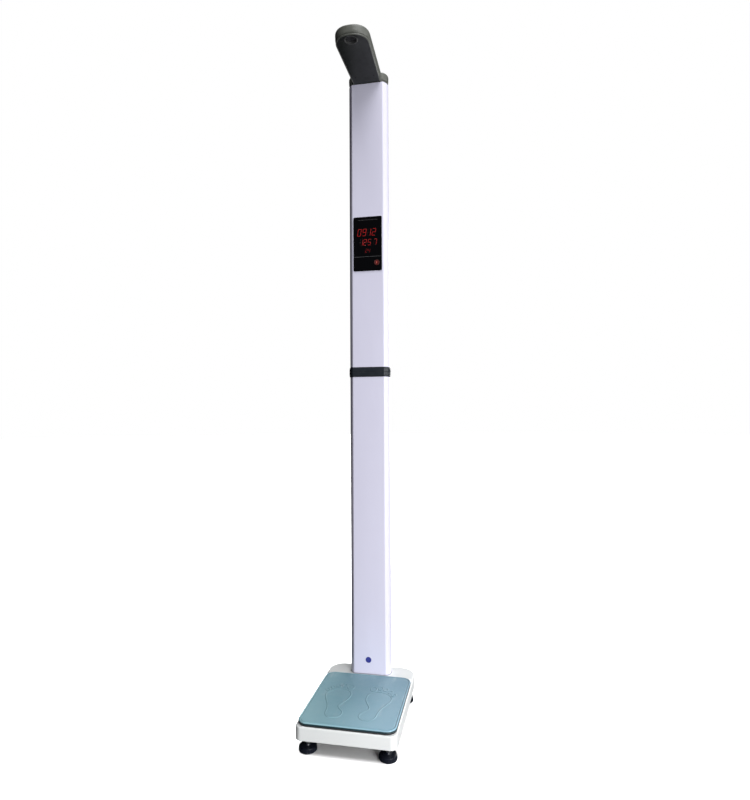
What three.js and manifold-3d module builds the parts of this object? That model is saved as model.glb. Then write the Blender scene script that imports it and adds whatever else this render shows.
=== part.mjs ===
// Ultrasonic height and weight scale: a weighing platform with a folding column.
// Millimetres, +Z up, the user stands on the -Y side.
// The origin is on the floor, below the middle of the bounding box.

import * as THREE from 'three';
import { mergeVertices } from 'three/addons/utils/BufferGeometryUtils.js';
import Module from 'manifold-3d';

const wasm = await Module();
wasm.setup();

// ---------------------------------------------------------------- driving dimensions

const OVERALL_H = 2280;
const CLEAR = 0.3;

// Weighing base: a moulded casing over a steel chassis plate.
const BASE_W = 312;
const BASE_D = 444;
const BASE_BOTTOM = 46;
const DECK_Z = 87;
const SHELF_Z = 94;
const SHELF_FRONT_Y = 134;
const CASING_WALL = 3;
const FRONT_CORNER_R = 20;
const REAR_CORNER_R = 55;
const CHASSIS_Z = 50;
const CHASSIS_T = 4;

// Pan and mat, carried on four rubber buffers.
const PAN_W = 305;
const PAN_D = 350;
const PAN_R = 32;
const PAN_Y = -43;
const PAN_SKIRT_Z = 91.5;
const PAN_TOP_Z = 95.8;
const PAN_SHEET = 2;
const MAT_TOP_Z = 98.8;
const BUFFER_X = 100;
const BUFFER_DY = 120;

// Column section: flat front and back, bulged sides.
const COLUMN_FLAT_W = 114.6;
const COLUMN_BULGE = 16.2;
const COLUMN_D = 60;
const COLUMN_FACE_Y = 144;
const COLUMN_WALL = 2;
const COLUMN_TOP = 2244.7;

// Fold joint at mid height.
const COLLAR_BOTTOM = 1161.6;
const COLLAR_TOP = 1196.7;
const COLLAR_SWELL = 3.4;
const PIN_R = 3;
const KNUCKLE_R = 6.5;

// Display, on the upper column.
const DISPLAY_W = 105.6;
const DISPLAY_H = 199.4;
const DISPLAY_Z = 1648;
const KEY_X = 33.5;
const KEY_Z = 1577.5;
const KEY_R = 9.7;

// Measuring head.
const HEAD_SPLIT_Z = 2251.8;
const HEAD_BOTTOM = 2245;
const ARM_REACH = 275.5;
const ARM_TIP_HALF = 58.5;
const ARM_ROOT_HALF = 53;
const TRANSDUCER_REACH = 248;

// Levelling feet, M10 studs.
const FOOT_X = 124.7;
const FRONT_FOOT_Y = -183;
const REAR_FOOT_Y = 172;
const FOOT_R = 27.8;
const STUD_R = 5;

const BULGE_R = ((COLUMN_D / 2) ** 2 + COLUMN_BULGE ** 2) / (2 * COLUMN_BULGE);
const BULGE_X = COLUMN_FLAT_W / 2 + COLUMN_BULGE - BULGE_R;

const COLUMN_Y = COLUMN_FACE_Y + COLUMN_D / 2;
const COLUMN_BACK = COLUMN_D / 2;
const FOLD_Z = (COLLAR_BOTTOM + COLLAR_TOP) / 2;
const PIN_Y = COLUMN_BACK + COLLAR_SWELL + KNUCKLE_R + 0.6;
const CHASSIS_TOP = CHASSIS_Z + CHASSIS_T;

// ---------------------------------------------------------------- materials

const FINISHES = {
  column_white: { color: 0xdcdae8, roughness: 0.45, metalness: 0.0 },
  casing_white: { color: 0xeceff0, roughness: 0.4, metalness: 0.0 },
  charcoal_abs: { color: 0x2c2e2a, roughness: 0.5, metalness: 0.0 },
  mat_teal: { color: 0x7f9fac, roughness: 0.7, metalness: 0.0 },
  pan_teal: { color: 0x39525a, roughness: 0.5, metalness: 0.2 },
  black_acrylic: { color: 0x07080a, roughness: 0.1, metalness: 0.0 },
  black_plastic: { color: 0x141519, roughness: 0.5, metalness: 0.0 },
  black_rubber: { color: 0x101013, roughness: 0.8, metalness: 0.0 },
  led_red: { color: 0x8e2426, roughness: 0.3, metalness: 0.0 },
  key_red: { color: 0xb23028, roughness: 0.35, metalness: 0.0 },
  switch_black: { color: 0x141519, roughness: 0.35, metalness: 0.0 },
  steel: { color: 0x9a9da1, roughness: 0.35, metalness: 1.0 },
  aluminium: { color: 0xb9bcc0, roughness: 0.4, metalness: 1.0 },
  board_green: { color: 0x1e5a3a, roughness: 0.5, metalness: 0.0 },
  badge_blue: { color: 0x2e3192, roughness: 0.4, metalness: 0.0 },
  magnet_nickel: { color: 0xa8a8ac, roughness: 0.25, metalness: 1.0 },
  transducer_grey: { color: 0x3a3b3d, roughness: 0.6, metalness: 0.3 },
};

function part(name, finish, geometry, x = 0, y = 0, z = 0) {
  const mesh = new THREE.Mesh(geometry, new THREE.MeshStandardMaterial(FINISHES[finish]));
  mesh.name = name;
  mesh.position.set(x, y, z);
  return mesh;
}

function groupAt(x, y, z, ...children) {
  const group = new THREE.Group();
  group.position.set(x, y, z);
  group.add(...children);
  return group;
}

// ---------------------------------------------------------------- solids

function toSolid(geometry) {
  const bare = geometry.clone();
  for (const name of Object.keys(bare.attributes)) {
    if (name !== 'position') bare.deleteAttribute(name);
  }
  const merged = mergeVertices(bare, 1e-4);
  const vertProperties = new Float32Array(merged.attributes.position.array);
  const triVerts = new Uint32Array(merged.index.array);
  return new wasm.Manifold(new wasm.Mesh({ numProp: 3, vertProperties, triVerts }));
}

function toGeometry(solid) {
  const mesh = solid.getMesh();
  const geometry = new THREE.BufferGeometry();
  geometry.setAttribute('position', new THREE.BufferAttribute(mesh.vertProperties, 3));
  geometry.setIndex(new THREE.BufferAttribute(mesh.triVerts, 1));
  return geometry;
}

function join(...geometries) {
  return toGeometry(geometries.map(toSolid).reduce((whole, next) => whole.add(next)));
}

function cut(body, ...tools) {
  return toGeometry(tools.map(toSolid).reduce((rest, tool) => rest.subtract(tool), toSolid(body)));
}

function common(a, b) {
  return toGeometry(toSolid(a).intersect(toSolid(b)));
}

// A box from its low corner to its high corner.
function block(low, high) {
  const size = high.map((value, axis) => value - low[axis]);
  const centre = high.map((value, axis) => (value + low[axis]) / 2);
  return new THREE.BoxGeometry(...size).translate(...centre);
}

// A cylinder between two heights, standing at (x, y).
function post(radius, z0, z1, x = 0, y = 0, sides = 24) {
  const cylinder = new THREE.CylinderGeometry(radius, radius, z1 - z0, sides);
  return cylinder.rotateX(Math.PI / 2).translate(x, y, (z0 + z1) / 2);
}

// A cylinder along X or Y, between two places on that axis.
function barX(radius, x0, x1, y, z, sides = 24) {
  const cylinder = new THREE.CylinderGeometry(radius, radius, x1 - x0, sides);
  return cylinder.rotateZ(Math.PI / 2).translate((x0 + x1) / 2, y, z);
}

function barY(radius, y0, y1, x, z, sides = 24) {
  const cylinder = new THREE.CylinderGeometry(radius, radius, y1 - y0, sides);
  return cylinder.translate(x, (y0 + y1) / 2, z);
}

// A turned piece about Z, from [radius, height] pairs.
function turned(profile, sides = 24) {
  const points = profile.map(([radius, height]) => new THREE.Vector2(radius, height));
  return new THREE.LatheGeometry(points, sides).rotateX(Math.PI / 2);
}

// A closed solid through outlines with equal numbers of points, one at each height.
function loft(sections) {
  const count = sections[0].outline.length;
  const positions = [];
  const index = [];
  for (const { outline, z } of sections) {
    outline.forEach((point) => positions.push(point.x, point.y, z));
  }
  for (let level = 0; level + 1 < sections.length; level += 1) {
    for (let i = 0; i < count; i += 1) {
      const a = level * count + i;
      const b = level * count + ((i + 1) % count);
      index.push(a, b, b + count, a, b + count, a + count);
    }
  }
  const last = (sections.length - 1) * count;
  for (const [a, b, c] of THREE.ShapeUtils.triangulateShape(sections[0].outline, [])) {
    index.push(c, b, a);
  }
  for (const [a, b, c] of THREE.ShapeUtils.triangulateShape(sections.at(-1).outline, [])) {
    index.push(last + a, last + b, last + c);
  }
  const geometry = new THREE.BufferGeometry();
  geometry.setAttribute('position', new THREE.Float32BufferAttribute(positions, 3));
  geometry.setIndex(index);
  return geometry;
}

function prism(outline, z0, z1) {
  return loft([{ outline, z: z0 }, { outline, z: z1 }]);
}

// A round cable along a smooth curve.
function cable(points, radius, steps = 24) {
  const circle = new THREE.Shape();
  circle.absarc(0, 0, radius, 0, 2 * Math.PI);
  const path = new THREE.CatmullRomCurve3(points.map((point) => new THREE.Vector3(...point)));
  return new THREE.ExtrudeGeometry(circle, { steps, curveSegments: 4, extrudePath: path });
}

// ---------------------------------------------------------------- outlines

// Part of an ellipse, or of a squarer superellipse, as points from one angle to another.
function arc(cx, cy, rx, ry, from, to, steps, power = 2) {
  const points = [];
  for (let i = 0; i <= steps; i += 1) {
    const angle = from + ((to - from) * i) / steps;
    const c = Math.cos(angle);
    const s = Math.sin(angle);
    const x = cx + rx * Math.sign(c) * Math.abs(c) ** (2 / power);
    const y = cy + ry * Math.sign(s) * Math.abs(s) ** (2 / power);
    points.push(new THREE.Vector2(x, y));
  }
  return points;
}

// A rectangle with its own corner radius at the front (-Y) and at the back.
function roundedRect(width, depth, frontR, backR, steps = 6) {
  const x = width / 2;
  const y = depth / 2;
  const quarter = Math.PI / 2;
  return [
    ...arc(x - frontR, frontR - y, frontR, frontR, -quarter, 0, steps),
    ...arc(x - backR, y - backR, backR, backR, 0, quarter, steps),
    ...arc(backR - x, y - backR, backR, backR, quarter, 2 * quarter, steps),
    ...arc(frontR - x, frontR - y, frontR, frontR, 2 * quarter, 3 * quarter, steps),
  ];
}

function baseOutline(inset) {
  const frontR = FRONT_CORNER_R - inset;
  const backR = REAR_CORNER_R - inset;
  return roundedRect(BASE_W - 2 * inset, BASE_D - 2 * inset, frontR, backR, 6);
}

function panOutline(inset) {
  return roundedRect(PAN_W - 2 * inset, PAN_D - 2 * inset, PAN_R - inset, PAN_R - inset);
}

// The column section about its own middle, grown or shrunk all round: flat front and
// back, with sides that are round bulges between two creases.
function columnOutline(grow = 0) {
  const reach = BULGE_R + grow;
  const half = Math.asin((COLUMN_D / 2 + grow) / reach);
  return [
    ...arc(BULGE_X, 0, reach, reach, -half, half, 8),
    ...arc(-BULGE_X, 0, reach, reach, Math.PI - half, Math.PI + half, 8),
  ];
}

// The arm seen from above: slightly wider at its tip, which is a blunt half oval.
function armOutline(inset) {
  const tip = ARM_TIP_HALF - inset;
  const root = ARM_ROOT_HALF - inset;
  const tipLength = ARM_TIP_HALF - inset;
  const tipY = -COLUMN_BACK - ARM_REACH + ARM_TIP_HALF;
  const outline = arc(0, tipY, tip, tipLength, Math.PI, 2 * Math.PI, 16, 2.3);
  outline.push(new THREE.Vector2(root, -COLUMN_BACK + 12));
  outline.push(new THREE.Vector2(-root, -COLUMN_BACK + 12));
  return outline;
}

// ---------------------------------------------------------------- base

function baseCasing() {
  const skirt = [
    { outline: baseOutline(1), z: BASE_BOTTOM },
    { outline: baseOutline(0), z: BASE_BOTTOM + 1.5 },
  ];
  const edge = (top) => [
    { outline: baseOutline(0), z: top - 3 },
    { outline: baseOutline(0.9), z: top - 0.9 },
    { outline: baseOutline(3), z: top },
  ];
  const low = loft([...skirt, ...edge(DECK_Z)]);
  const high = loft([...skirt, ...edge(SHELF_Z)]);
  const back = block([-BASE_W, SHELF_FRONT_Y, 0], [BASE_W, BASE_D, SHELF_Z + 1]);
  const cavityOutline = baseOutline(CASING_WALL);
  const cavity = prism(cavityOutline, 0, DECK_Z - CASING_WALL);
  const backCavity = common(
    prism(cavityOutline, BASE_BOTTOM, SHELF_Z - CASING_WALL),
    block([-BASE_W, SHELF_FRONT_Y + CASING_WALL, 0], [BASE_W, BASE_D, SHELF_Z]),
  );
  const columnHole = prism(columnOutline(0.5), DECK_Z - 10, SHELF_Z + 1).translate(0, COLUMN_Y, 0);
  const postHoles = bufferPlaces().map(([x, y]) => post(16, DECK_Z - 10, DECK_Z + 1, x, y, 16));
  return cut(join(low, common(high, back)), cavity, backCavity, columnHole, ...postHoles);
}

function bufferPlaces() {
  return [-1, 1].flatMap((sy) => [-1, 1].map((sx) => [sx * BUFFER_X, PAN_Y + sy * BUFFER_DY]));
}

function footPlaces() {
  return [
    ['front_left', -FOOT_X, FRONT_FOOT_Y],
    ['front_right', FOOT_X, FRONT_FOOT_Y],
    ['rear_left', -FOOT_X, REAR_FOOT_Y],
    ['rear_right', FOOT_X, REAR_FOOT_Y],
  ];
}

function chassisPlate() {
  const sheet = prism(baseOutline(CASING_WALL + 0.6), CHASSIS_Z, CHASSIS_TOP);
  const holes = footPlaces().map(([, x, y]) => post(STUD_R + 0.4, 0, DECK_Z, x, y, 16));
  return cut(sheet, ...holes);
}

// Load cell bar with its double-bore flexure, on a spacer at the back end
// and carrying the spider on a spacer at the front end.
const CELL_W = 38;
const CELL_L = 150;
const CELL_Z = CHASSIS_TOP + 3.3;
const CELL_H = 17.7;
const SPACER_L = 40;
const SPIDER_Z = CELL_Z + CELL_H + 2.8;
const SPIDER_T = 4;

function loadCell() {
  const bar = block([-CELL_W / 2, -CELL_L / 2, 0], [CELL_W / 2, CELL_L / 2, CELL_H]);
  const bores = [-16, 16].map((y) => barX(6, -CELL_W, CELL_W, y, CELL_H / 2, 16));
  const slot = block([-CELL_W, -16, CELL_H / 2 - 3], [CELL_W, 16, CELL_H / 2 + 3]);
  return cut(bar, ...bores, slot);
}

function cellSpacer(height) {
  return block([-CELL_W / 2, -SPACER_L / 2, 0], [CELL_W / 2, SPACER_L / 2, height]);
}

function panSpider() {
  const reach = Math.hypot(BUFFER_X, BUFFER_DY);
  const turn = Math.atan2(BUFFER_DY, BUFFER_X);
  const arms = [turn, -turn].map((angle) => {
    const arm = block([-reach, -13, 0], [reach, 13, SPIDER_T]);
    return arm.rotateZ(angle);
  });
  const ends = bufferPlaces().map(([x, y]) => post(14, 0, SPIDER_T, x, y - PAN_Y, 16));
  const posts = bufferPlaces().map(([x, y]) => post(8, 0, 90 - SPIDER_Z, x, y - PAN_Y, 12));
  const middle = block([-45, -60, 0], [45, 60, SPIDER_T]);
  return join(middle, ...arms, ...ends, ...posts);
}

function adcBoard() {
  const board = block([-35, -25, 0], [35, 25, 1.6]);
  const sockets = [-20, 0, 20].map((x) => block([x - 6, -22, 1.5], [x + 6, -12, 9]));
  return join(board, ...sockets);
}

// A strip on the deck under the pan's edge, which keeps dust out without touching the pan.
function dustSeal() {
  const top = PAN_SKIRT_Z - 0.6;
  const ring = prism(panOutline(0.6), DECK_Z + 0.1, top);
  return cut(ring, prism(panOutline(4.6), DECK_Z, top + 1));
}

function weighingBase() {
  const cellBack = CELL_L / 2 - SPACER_L / 2;
  const buffers = bufferPlaces().map(([x, y], i) => {
    const pad = turned([[0, 0], [9, 0], [10, 1], [10, 2.4], [9, 3.2], [0, 3.2]], 14);
    return part(`pan_buffer_${i + 1}`, 'black_rubber', pad, x, y, 90.3);
  });
  return groupAt(0, 0, 0,
    part('base_casing', 'casing_white', baseCasing()),
    part('chassis_plate', 'steel', chassisPlate()),
    part('cell_spacer_lower', 'steel', cellSpacer(2.7), 0, PAN_Y + cellBack, CHASSIS_TOP + CLEAR),
    part('load_cell', 'aluminium', loadCell(), 0, PAN_Y, CELL_Z),
    part('cell_spacer_upper', 'steel', cellSpacer(2.2), 0, PAN_Y - cellBack, SPIDER_Z - 2.5),
    part('pan_spider', 'steel', panSpider(), 0, PAN_Y, SPIDER_Z),
    part('adc_board', 'board_green', adcBoard(), 85, 105, CHASSIS_TOP + 5),
    part('dust_seal', 'black_rubber', dustSeal(), 0, PAN_Y, 0),
    ...buffers,
  );
}

// Each foot: a moulded pad, a stud with an adjusting hexagon, and a lock nut under the chassis.
const PAD_H = 22;
const PAD_BORE_Z = 6;
const STUD_TOP = 72;
const NUT_H = 8;

function footPad() {
  const profile = [
    [0, 0], [FOOT_R - 2, 0], [FOOT_R, 2], [FOOT_R, 14], [FOOT_R - 3, 19], [FOOT_R - 11, PAD_H],
    [STUD_R + 0.6, PAD_H], [STUD_R + 0.6, PAD_BORE_Z], [0, PAD_BORE_Z],
  ];
  return turned(profile, 20);
}

function footStud() {
  const shank = post(STUD_R, PAD_BORE_Z + CLEAR, STUD_TOP, 0, 0, 16);
  return join(shank, post(8.6, PAD_H + 0.5, PAD_H + 6.5, 0, 0, 6));
}

function lockNut() {
  return cut(post(9.8, 0, NUT_H, 0, 0, 6), post(STUD_R + 0.4, -1, NUT_H + 1, 0, 0, 16));
}

function levellingFeet() {
  const feet = footPlaces().map(([place, x, y]) => groupAt(x, y, 0,
    part(`foot_pad_${place}`, 'black_plastic', footPad()),
    part(`foot_stud_${place}`, 'steel', footStud()),
    part(`lock_nut_${place}`, 'steel', lockNut(), 0, 0, CHASSIS_Z - NUT_H - CLEAR),
  ));
  return groupAt(0, 0, 0, ...feet);
}

// ---------------------------------------------------------------- pan

function pan() {
  const shell = loft([
    { outline: panOutline(0), z: PAN_SKIRT_Z },
    { outline: panOutline(0), z: PAN_TOP_Z - 1.5 },
    { outline: panOutline(0.5), z: PAN_TOP_Z - 0.4 },
    { outline: panOutline(1.5), z: PAN_TOP_Z },
  ]);
  return cut(shell, prism(panOutline(PAN_SHEET), PAN_SKIRT_Z - 1, PAN_TOP_Z - PAN_SHEET));
}

function mat() {
  return loft([
    { outline: panOutline(0.6), z: PAN_TOP_Z + CLEAR },
    { outline: panOutline(0.4), z: MAT_TOP_Z - 1.2 },
    { outline: panOutline(1), z: MAT_TOP_Z - 0.3 },
    { outline: panOutline(2.2), z: MAT_TOP_Z },
  ]);
}

function weighingPan() {
  return groupAt(0, PAN_Y, 0, part('pan', 'pan_teal', pan()), part('mat', 'mat_teal', mat()));
}

// ---------------------------------------------------------------- column

// A length of the column extrusion, open at both ends.
function columnTube(z0, z1) {
  return cut(prism(columnOutline(), z0, z1), prism(columnOutline(-COLUMN_WALL), z0 - 1, z1 + 1));
}

const SOCKET_TOP = 150;
const BOLT_X = 35;
const BOLT_ROWS = [114, 137];
const CABLE_HOLE_Z = 68;
const POWER_Z = 260;
const INLET_X = -25;
const SWITCH_X = 25;
const BADGE_R = 10.5;
const BADGE_X = -4.8;
const BADGE_Z = 145;

function boltPlaces() {
  return BOLT_ROWS.flatMap((z) => [-BOLT_X, BOLT_X].map((x) => [x, z]));
}

function lowerColumn() {
  const back = [COLUMN_BACK - 6, COLUMN_BACK + 1];
  const boltHoles = boltPlaces().map(([x, z]) => barY(4.6, ...back, x, z, 12));
  const cableHole = barY(8, -COLUMN_BACK - 1, -COLUMN_BACK + 6, 0, CABLE_HOLE_Z, 16);
  const inletHole = barY(6.1, ...back, INLET_X, POWER_Z, 20);
  const switchHole = block(
    [SWITCH_X - 9.4, back[0], POWER_Z - 13.4],
    [SWITCH_X + 9.4, back[1], POWER_Z + 13.4],
  );
  const tube = columnTube(CHASSIS_TOP + 0.6, COLLAR_BOTTOM - CLEAR);
  return cut(tube, ...boltHoles, cableHole, inletHole, switchHole);
}

// Steel socket on the chassis that the column slips over and is bolted to.
function columnSocket() {
  const outer = block([-48, -23, CHASSIS_TOP + CLEAR], [48, 23, SOCKET_TOP]);
  const inner = block([-43, -18, 0], [43, 18, SOCKET_TOP + 1]);
  const boltHoles = boltPlaces().map(([x, z]) => barY(4.5, 10, 30, x, z, 12));
  return cut(outer, inner, ...boltHoles, barY(8, -30, -10, 0, CABLE_HOLE_Z, 16));
}

function columnBolt() {
  const head = cut(barY(6.6, 0.3, 4.6, 0, 0, 14), barY(3.2, 2.2, 6, 0, 0, 6));
  return join(head, barY(4, -12, 0.6, 0, 0, 10));
}

// One half of the fold joint: a swelling collar, a plug inside the tube and hinge knuckles.
// It is drawn as the lower half, with its top face at z = 0.
const COLLAR_H = (COLLAR_TOP - COLLAR_BOTTOM) / 2 - 0.15;
const PLUG_H = 20;
const PASSAGE = [[-30, -8], [30, 18]];
const MAGNET_Y = -20;
const MAGNET_R = 7.7;

function collarHalf(knuckles) {
  const ring = loft([
    { outline: columnOutline(0.9), z: -COLLAR_H },
    { outline: columnOutline(2.1), z: -COLLAR_H + 2 },
    { outline: columnOutline(2.9), z: -COLLAR_H + 7 },
    { outline: columnOutline(COLLAR_SWELL), z: 0 },
  ]);
  const plug = prism(columnOutline(-COLUMN_WALL - 0.4), -COLLAR_H - PLUG_H, -COLLAR_H + 1);
  const [[x0, y0], [x1, y1]] = PASSAGE;
  const passage = block([x0, y0, -COLLAR_H - PLUG_H - 1], [x1, y1, 1]);
  const pocket = post(MAGNET_R + 0.3, -5, 1, 0, MAGNET_Y);
  const webs = knuckles.map(([left, right]) => join(
    block([left, COLUMN_BACK + 1, -12], [right, PIN_Y, 0]),
    barX(KNUCKLE_R, left, right, PIN_Y, 0.15),
  ));
  const pinHole = barX(PIN_R + 0.15, -60, 60, PIN_Y, 0.15, 20);
  return cut(join(ring, plug, ...webs), passage, pocket, pinHole);
}

const OUTER_KNUCKLES = [[-41, -19], [19, 41]];
const MIDDLE_KNUCKLE = [[-18.6, 18.6]];

function hingePin() {
  const heads = [-1, 1].map((side) => {
    const cap = new THREE.CylinderGeometry(PIN_R + 0.6, PIN_R + 1.4, 1.8, 20);
    return cap.rotateZ(-side * Math.PI / 2).translate(side * 42.4, 0, 0);
  });
  return join(barX(PIN_R, -42, 42, 0, 0, 20), ...heads);
}

// Round low-voltage inlet with a blind bore for a barrel plug.
function powerInlet() {
  const body = join(barY(8.2, 0.3, 2.6, 0, 0, 24), barY(5.7, -14, 0.5, 0, 0, 20));
  return cut(body, barY(3.4, -11, 4, 0, 0, 20));
}

const ROCKER_W = 11.4;
const ROCKER_HALF = 9.3;
const ROCKER_TILT = THREE.MathUtils.degToRad(8);

function switchHousing() {
  const body = join(
    block([-11, 0.3, -15], [11, 2.3, 15]),
    block([-9, -16, -13], [9, 0.5, 13]),
  );
  return cut(body, block([-6.1, -8, -10.3], [6.1, 4, 10.3]));
}

// Rocker with two dished faces, resting with its lower half pressed in.
function rocker() {
  const side = new THREE.Shape([
    new THREE.Vector2(-3.4, -ROCKER_HALF), new THREE.Vector2(3.2, -ROCKER_HALF),
    new THREE.Vector2(1.9, 0), new THREE.Vector2(3.2, ROCKER_HALF),
    new THREE.Vector2(-3.4, ROCKER_HALF), new THREE.Vector2(-4.4, 0),
  ]);
  const wedge = new THREE.ExtrudeGeometry(side, { depth: ROCKER_W, bevelEnabled: false });
  wedge.translate(0, 0, -ROCKER_W / 2);
  wedge.rotateX(Math.PI / 2).rotateZ(Math.PI / 2);
  return wedge.rotateX(ROCKER_TILT);
}

function lowerHalf() {
  const bolts = boltPlaces().map(([x, z], i) => (
    part(`column_bolt_${i + 1}`, 'steel', columnBolt(), x, COLUMN_BACK, z)));
  const loom = cable([
    [0, -50, CABLE_HOLE_Z], [0, -20, CABLE_HOLE_Z], [0, -4, CABLE_HOLE_Z + 12],
    [0, 2, CABLE_HOLE_Z + 50], [0, 4, 200], [0, 5, 400], [0, 5, 800], [0, 5, FOLD_Z - 12],
  ], 3, 40);
  const badge = barY(BADGE_R, -0.8, 0, 0, 0);
  return groupAt(0, COLUMN_Y, 0,
    part('column_socket', 'steel', columnSocket()),
    part('lower_column', 'column_white', lowerColumn()),
    part('lower_collar', 'charcoal_abs', collarHalf(OUTER_KNUCKLES), 0, 0, FOLD_Z - 0.15),
    part('hinge_pin', 'steel', hingePin(), 0, PIN_Y, FOLD_Z),
    part('catch_magnet', 'magnet_nickel', post(MAGNET_R, -4.6, 0, 0, 0), 0, MAGNET_Y, FOLD_Z - 0.2),
    part('power_inlet', 'black_plastic', powerInlet(), INLET_X, COLUMN_BACK, POWER_Z),
    part('switch_housing', 'black_plastic', switchHousing(), SWITCH_X, COLUMN_BACK, POWER_Z),
    part('power_rocker', 'switch_black', rocker(), SWITCH_X, COLUMN_BACK, POWER_Z),
    part('column_badge', 'badge_blue', badge, BADGE_X, -COLUMN_BACK - CLEAR, BADGE_Z),
    part('lower_loom', 'black_rubber', loom),
    ...bolts,
  );
}

// ---------------------------------------------------------------- upper half

const TRAY_W = 96.2;
const TRAY_H = 186.2;
const TRAY_D = 20;
const BOARD_Y = 15;

function upperColumn() {
  const halfW = TRAY_W / 2 + 0.4;
  const halfH = TRAY_H / 2 + 0.4;
  const opening = block(
    [-halfW, -COLUMN_BACK - 1, DISPLAY_Z - halfH],
    [halfW, -COLUMN_BACK + 8, DISPLAY_Z + halfH],
  );
  return cut(columnTube(COLLAR_TOP + CLEAR, COLUMN_TOP), opening);
}

// The display pieces are drawn about the middle of the display, with y = 0 on the column face.
function displayTray() {
  const wall = 2;
  const x = TRAY_W / 2;
  const z = TRAY_H / 2;
  const outer = block([-x, 0, -z], [x, TRAY_D, z]);
  const inner = block([wall - x, -1, wall - z], [x - wall, TRAY_D - wall, z - wall]);
  const cableSlots = block([-6, TRAY_D - 4, -70], [6, TRAY_D + 1, 70]);
  return cut(outer, inner, cableSlots);
}

function displayWindow() {
  const outline = roundedRect(DISPLAY_W, DISPLAY_H, 5, 5, 5);
  const sheet = prism(outline, 0, 2.7).rotateX(Math.PI / 2).translate(0, -CLEAR, 0);
  const keyHole = barY(KEY_R + 0.4, -5, 1, KEY_X, KEY_Z - DISPLAY_Z, 28);
  return cut(sheet, keyHole);
}

function displayBoard() {
  return block([-44, BOARD_Y, -89], [44, BOARD_Y + 1.6, 89]);
}

function digitRow(width, height) {
  return block([-width / 2, 0.4, -height / 2], [width / 2, BOARD_Y - CLEAR, height / 2]);
}

function tactSwitch() {
  return join(block([-6, 8, -6], [6, BOARD_Y - CLEAR, 6]), barY(2, 6.8, 9, 0, 0, 12));
}

function displayKey() {
  const cap = new THREE.CylinderGeometry(KEY_R, KEY_R - 1, 1, 28).translate(0, -3.8, 0);
  return join(cap, barY(KEY_R, -3.4, -1, 0, 0, 28), barY(3, -2, 5, 0, 0, 16));
}

function display() {
  return groupAt(0, -COLUMN_BACK, DISPLAY_Z,
    part('display_tray', 'black_plastic', displayTray()),
    part('display_window', 'black_acrylic', displayWindow()),
    part('display_board', 'board_green', displayBoard()),
    part('digit_row_top', 'led_red', digitRow(88, 34), 0, 0, 41),
    part('digit_row_middle', 'led_red', digitRow(76, 30), 0, 0, 6),
    part('digit_row_bottom', 'led_red', digitRow(34, 22), 0, 0, -26),
    part('tact_switch', 'black_plastic', tactSwitch(), KEY_X, 0, KEY_Z - DISPLAY_Z),
    part('display_key', 'key_red', displayKey(), KEY_X, 0, KEY_Z - DISPLAY_Z),
  );
}

const HEAD_SCREW_X = 34;
const HEAD_SCREW_Y = -COLUMN_BACK - 42;
const TRANSDUCER_Y = -COLUMN_BACK - TRANSDUCER_REACH;
const RING_R = 21;

// Arm and column cap in one moulding: the same levels for both, joined.
function headBody(levels) {
  const arm = loft(levels.map(({ inset, z }) => ({ outline: armOutline(inset), z })));
  const cap = loft(levels.map(({ inset, z }) => ({ outline: columnOutline(1 - inset / 2), z })));
  return join(arm, cap);
}

function headShell() {
  const body = headBody([
    { inset: 2.4, z: HEAD_SPLIT_Z + 0.2 },
    { inset: 0, z: OVERALL_H - 9 },
    { inset: 0.9, z: OVERALL_H - 4 },
    { inset: 2.6, z: OVERALL_H - 1.4 },
    { inset: 5.2, z: OVERALL_H },
  ]);
  const hollow = headBody([
    { inset: 6, z: HEAD_SPLIT_Z - 1 },
    { inset: 6, z: OVERALL_H - 3 },
  ]);
  const bosses = [-HEAD_SCREW_X, HEAD_SCREW_X].map((x) => (
    cut(
      post(4.5, HEAD_SPLIT_Z + 0.2, OVERALL_H - 2, x, HEAD_SCREW_Y, 16),
      post(1.9, HEAD_SPLIT_Z, OVERALL_H - 10, x, HEAD_SCREW_Y, 12),
    )));
  return join(cut(body, hollow), ...bosses);
}

function headCover() {
  const body = headBody([
    { inset: 4.6, z: HEAD_BOTTOM },
    { inset: 3.9, z: HEAD_BOTTOM + 0.8 },
    { inset: 3.3, z: HEAD_SPLIT_Z - 0.1 },
  ]);
  const hollow = headBody([
    { inset: 7.5, z: HEAD_BOTTOM + 2.5 },
    { inset: 7.5, z: HEAD_SPLIT_Z + 1 },
  ]);
  const plug = prism(columnOutline(-COLUMN_WALL - 0.4), HEAD_BOTTOM - 16, HEAD_BOTTOM + 2);
  const cableWay = block([-20, -10, HEAD_BOTTOM - 20], [20, 14, HEAD_SPLIT_Z]);
  const sensorHole = post(RING_R + 0.3, HEAD_BOTTOM - 2, HEAD_SPLIT_Z, 0, TRANSDUCER_Y, 24);
  const screwHoles = [-HEAD_SCREW_X, HEAD_SCREW_X].flatMap((x) => [
    post(1.9, HEAD_BOTTOM - 1, HEAD_SPLIT_Z, x, HEAD_SCREW_Y, 12),
    post(3.4, HEAD_BOTTOM - 1, HEAD_BOTTOM + 1.3, x, HEAD_SCREW_Y, 16),
  ]);
  return cut(join(cut(body, hollow), plug), cableWay, sensorHole, ...screwHoles);
}

function transducerRing() {
  return turned([
    [18.8, -1.2], [22.2, -1.2], [22.6, -0.3], [RING_R, -0.3], [RING_R, 11], [18.8, 11], [18.8, -1.2],
  ], 24);
}

function transducer() {
  return turned([[0, 4.5], [14, 4.5], [18.4, 3.6], [18.4, 14], [15, 15], [15, 21], [0, 21]], 20);
}

function headScrew() {
  return turned([[0, 0.2], [3.1, 0.2], [1.5, 1.6], [1.5, 15], [0, 15]], 16);
}

function sensorBoard() {
  return join(block([-24, -30, 0], [24, 30, 1.6]), block([-8, 16, 1.5], [8, 24, 5]));
}

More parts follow.
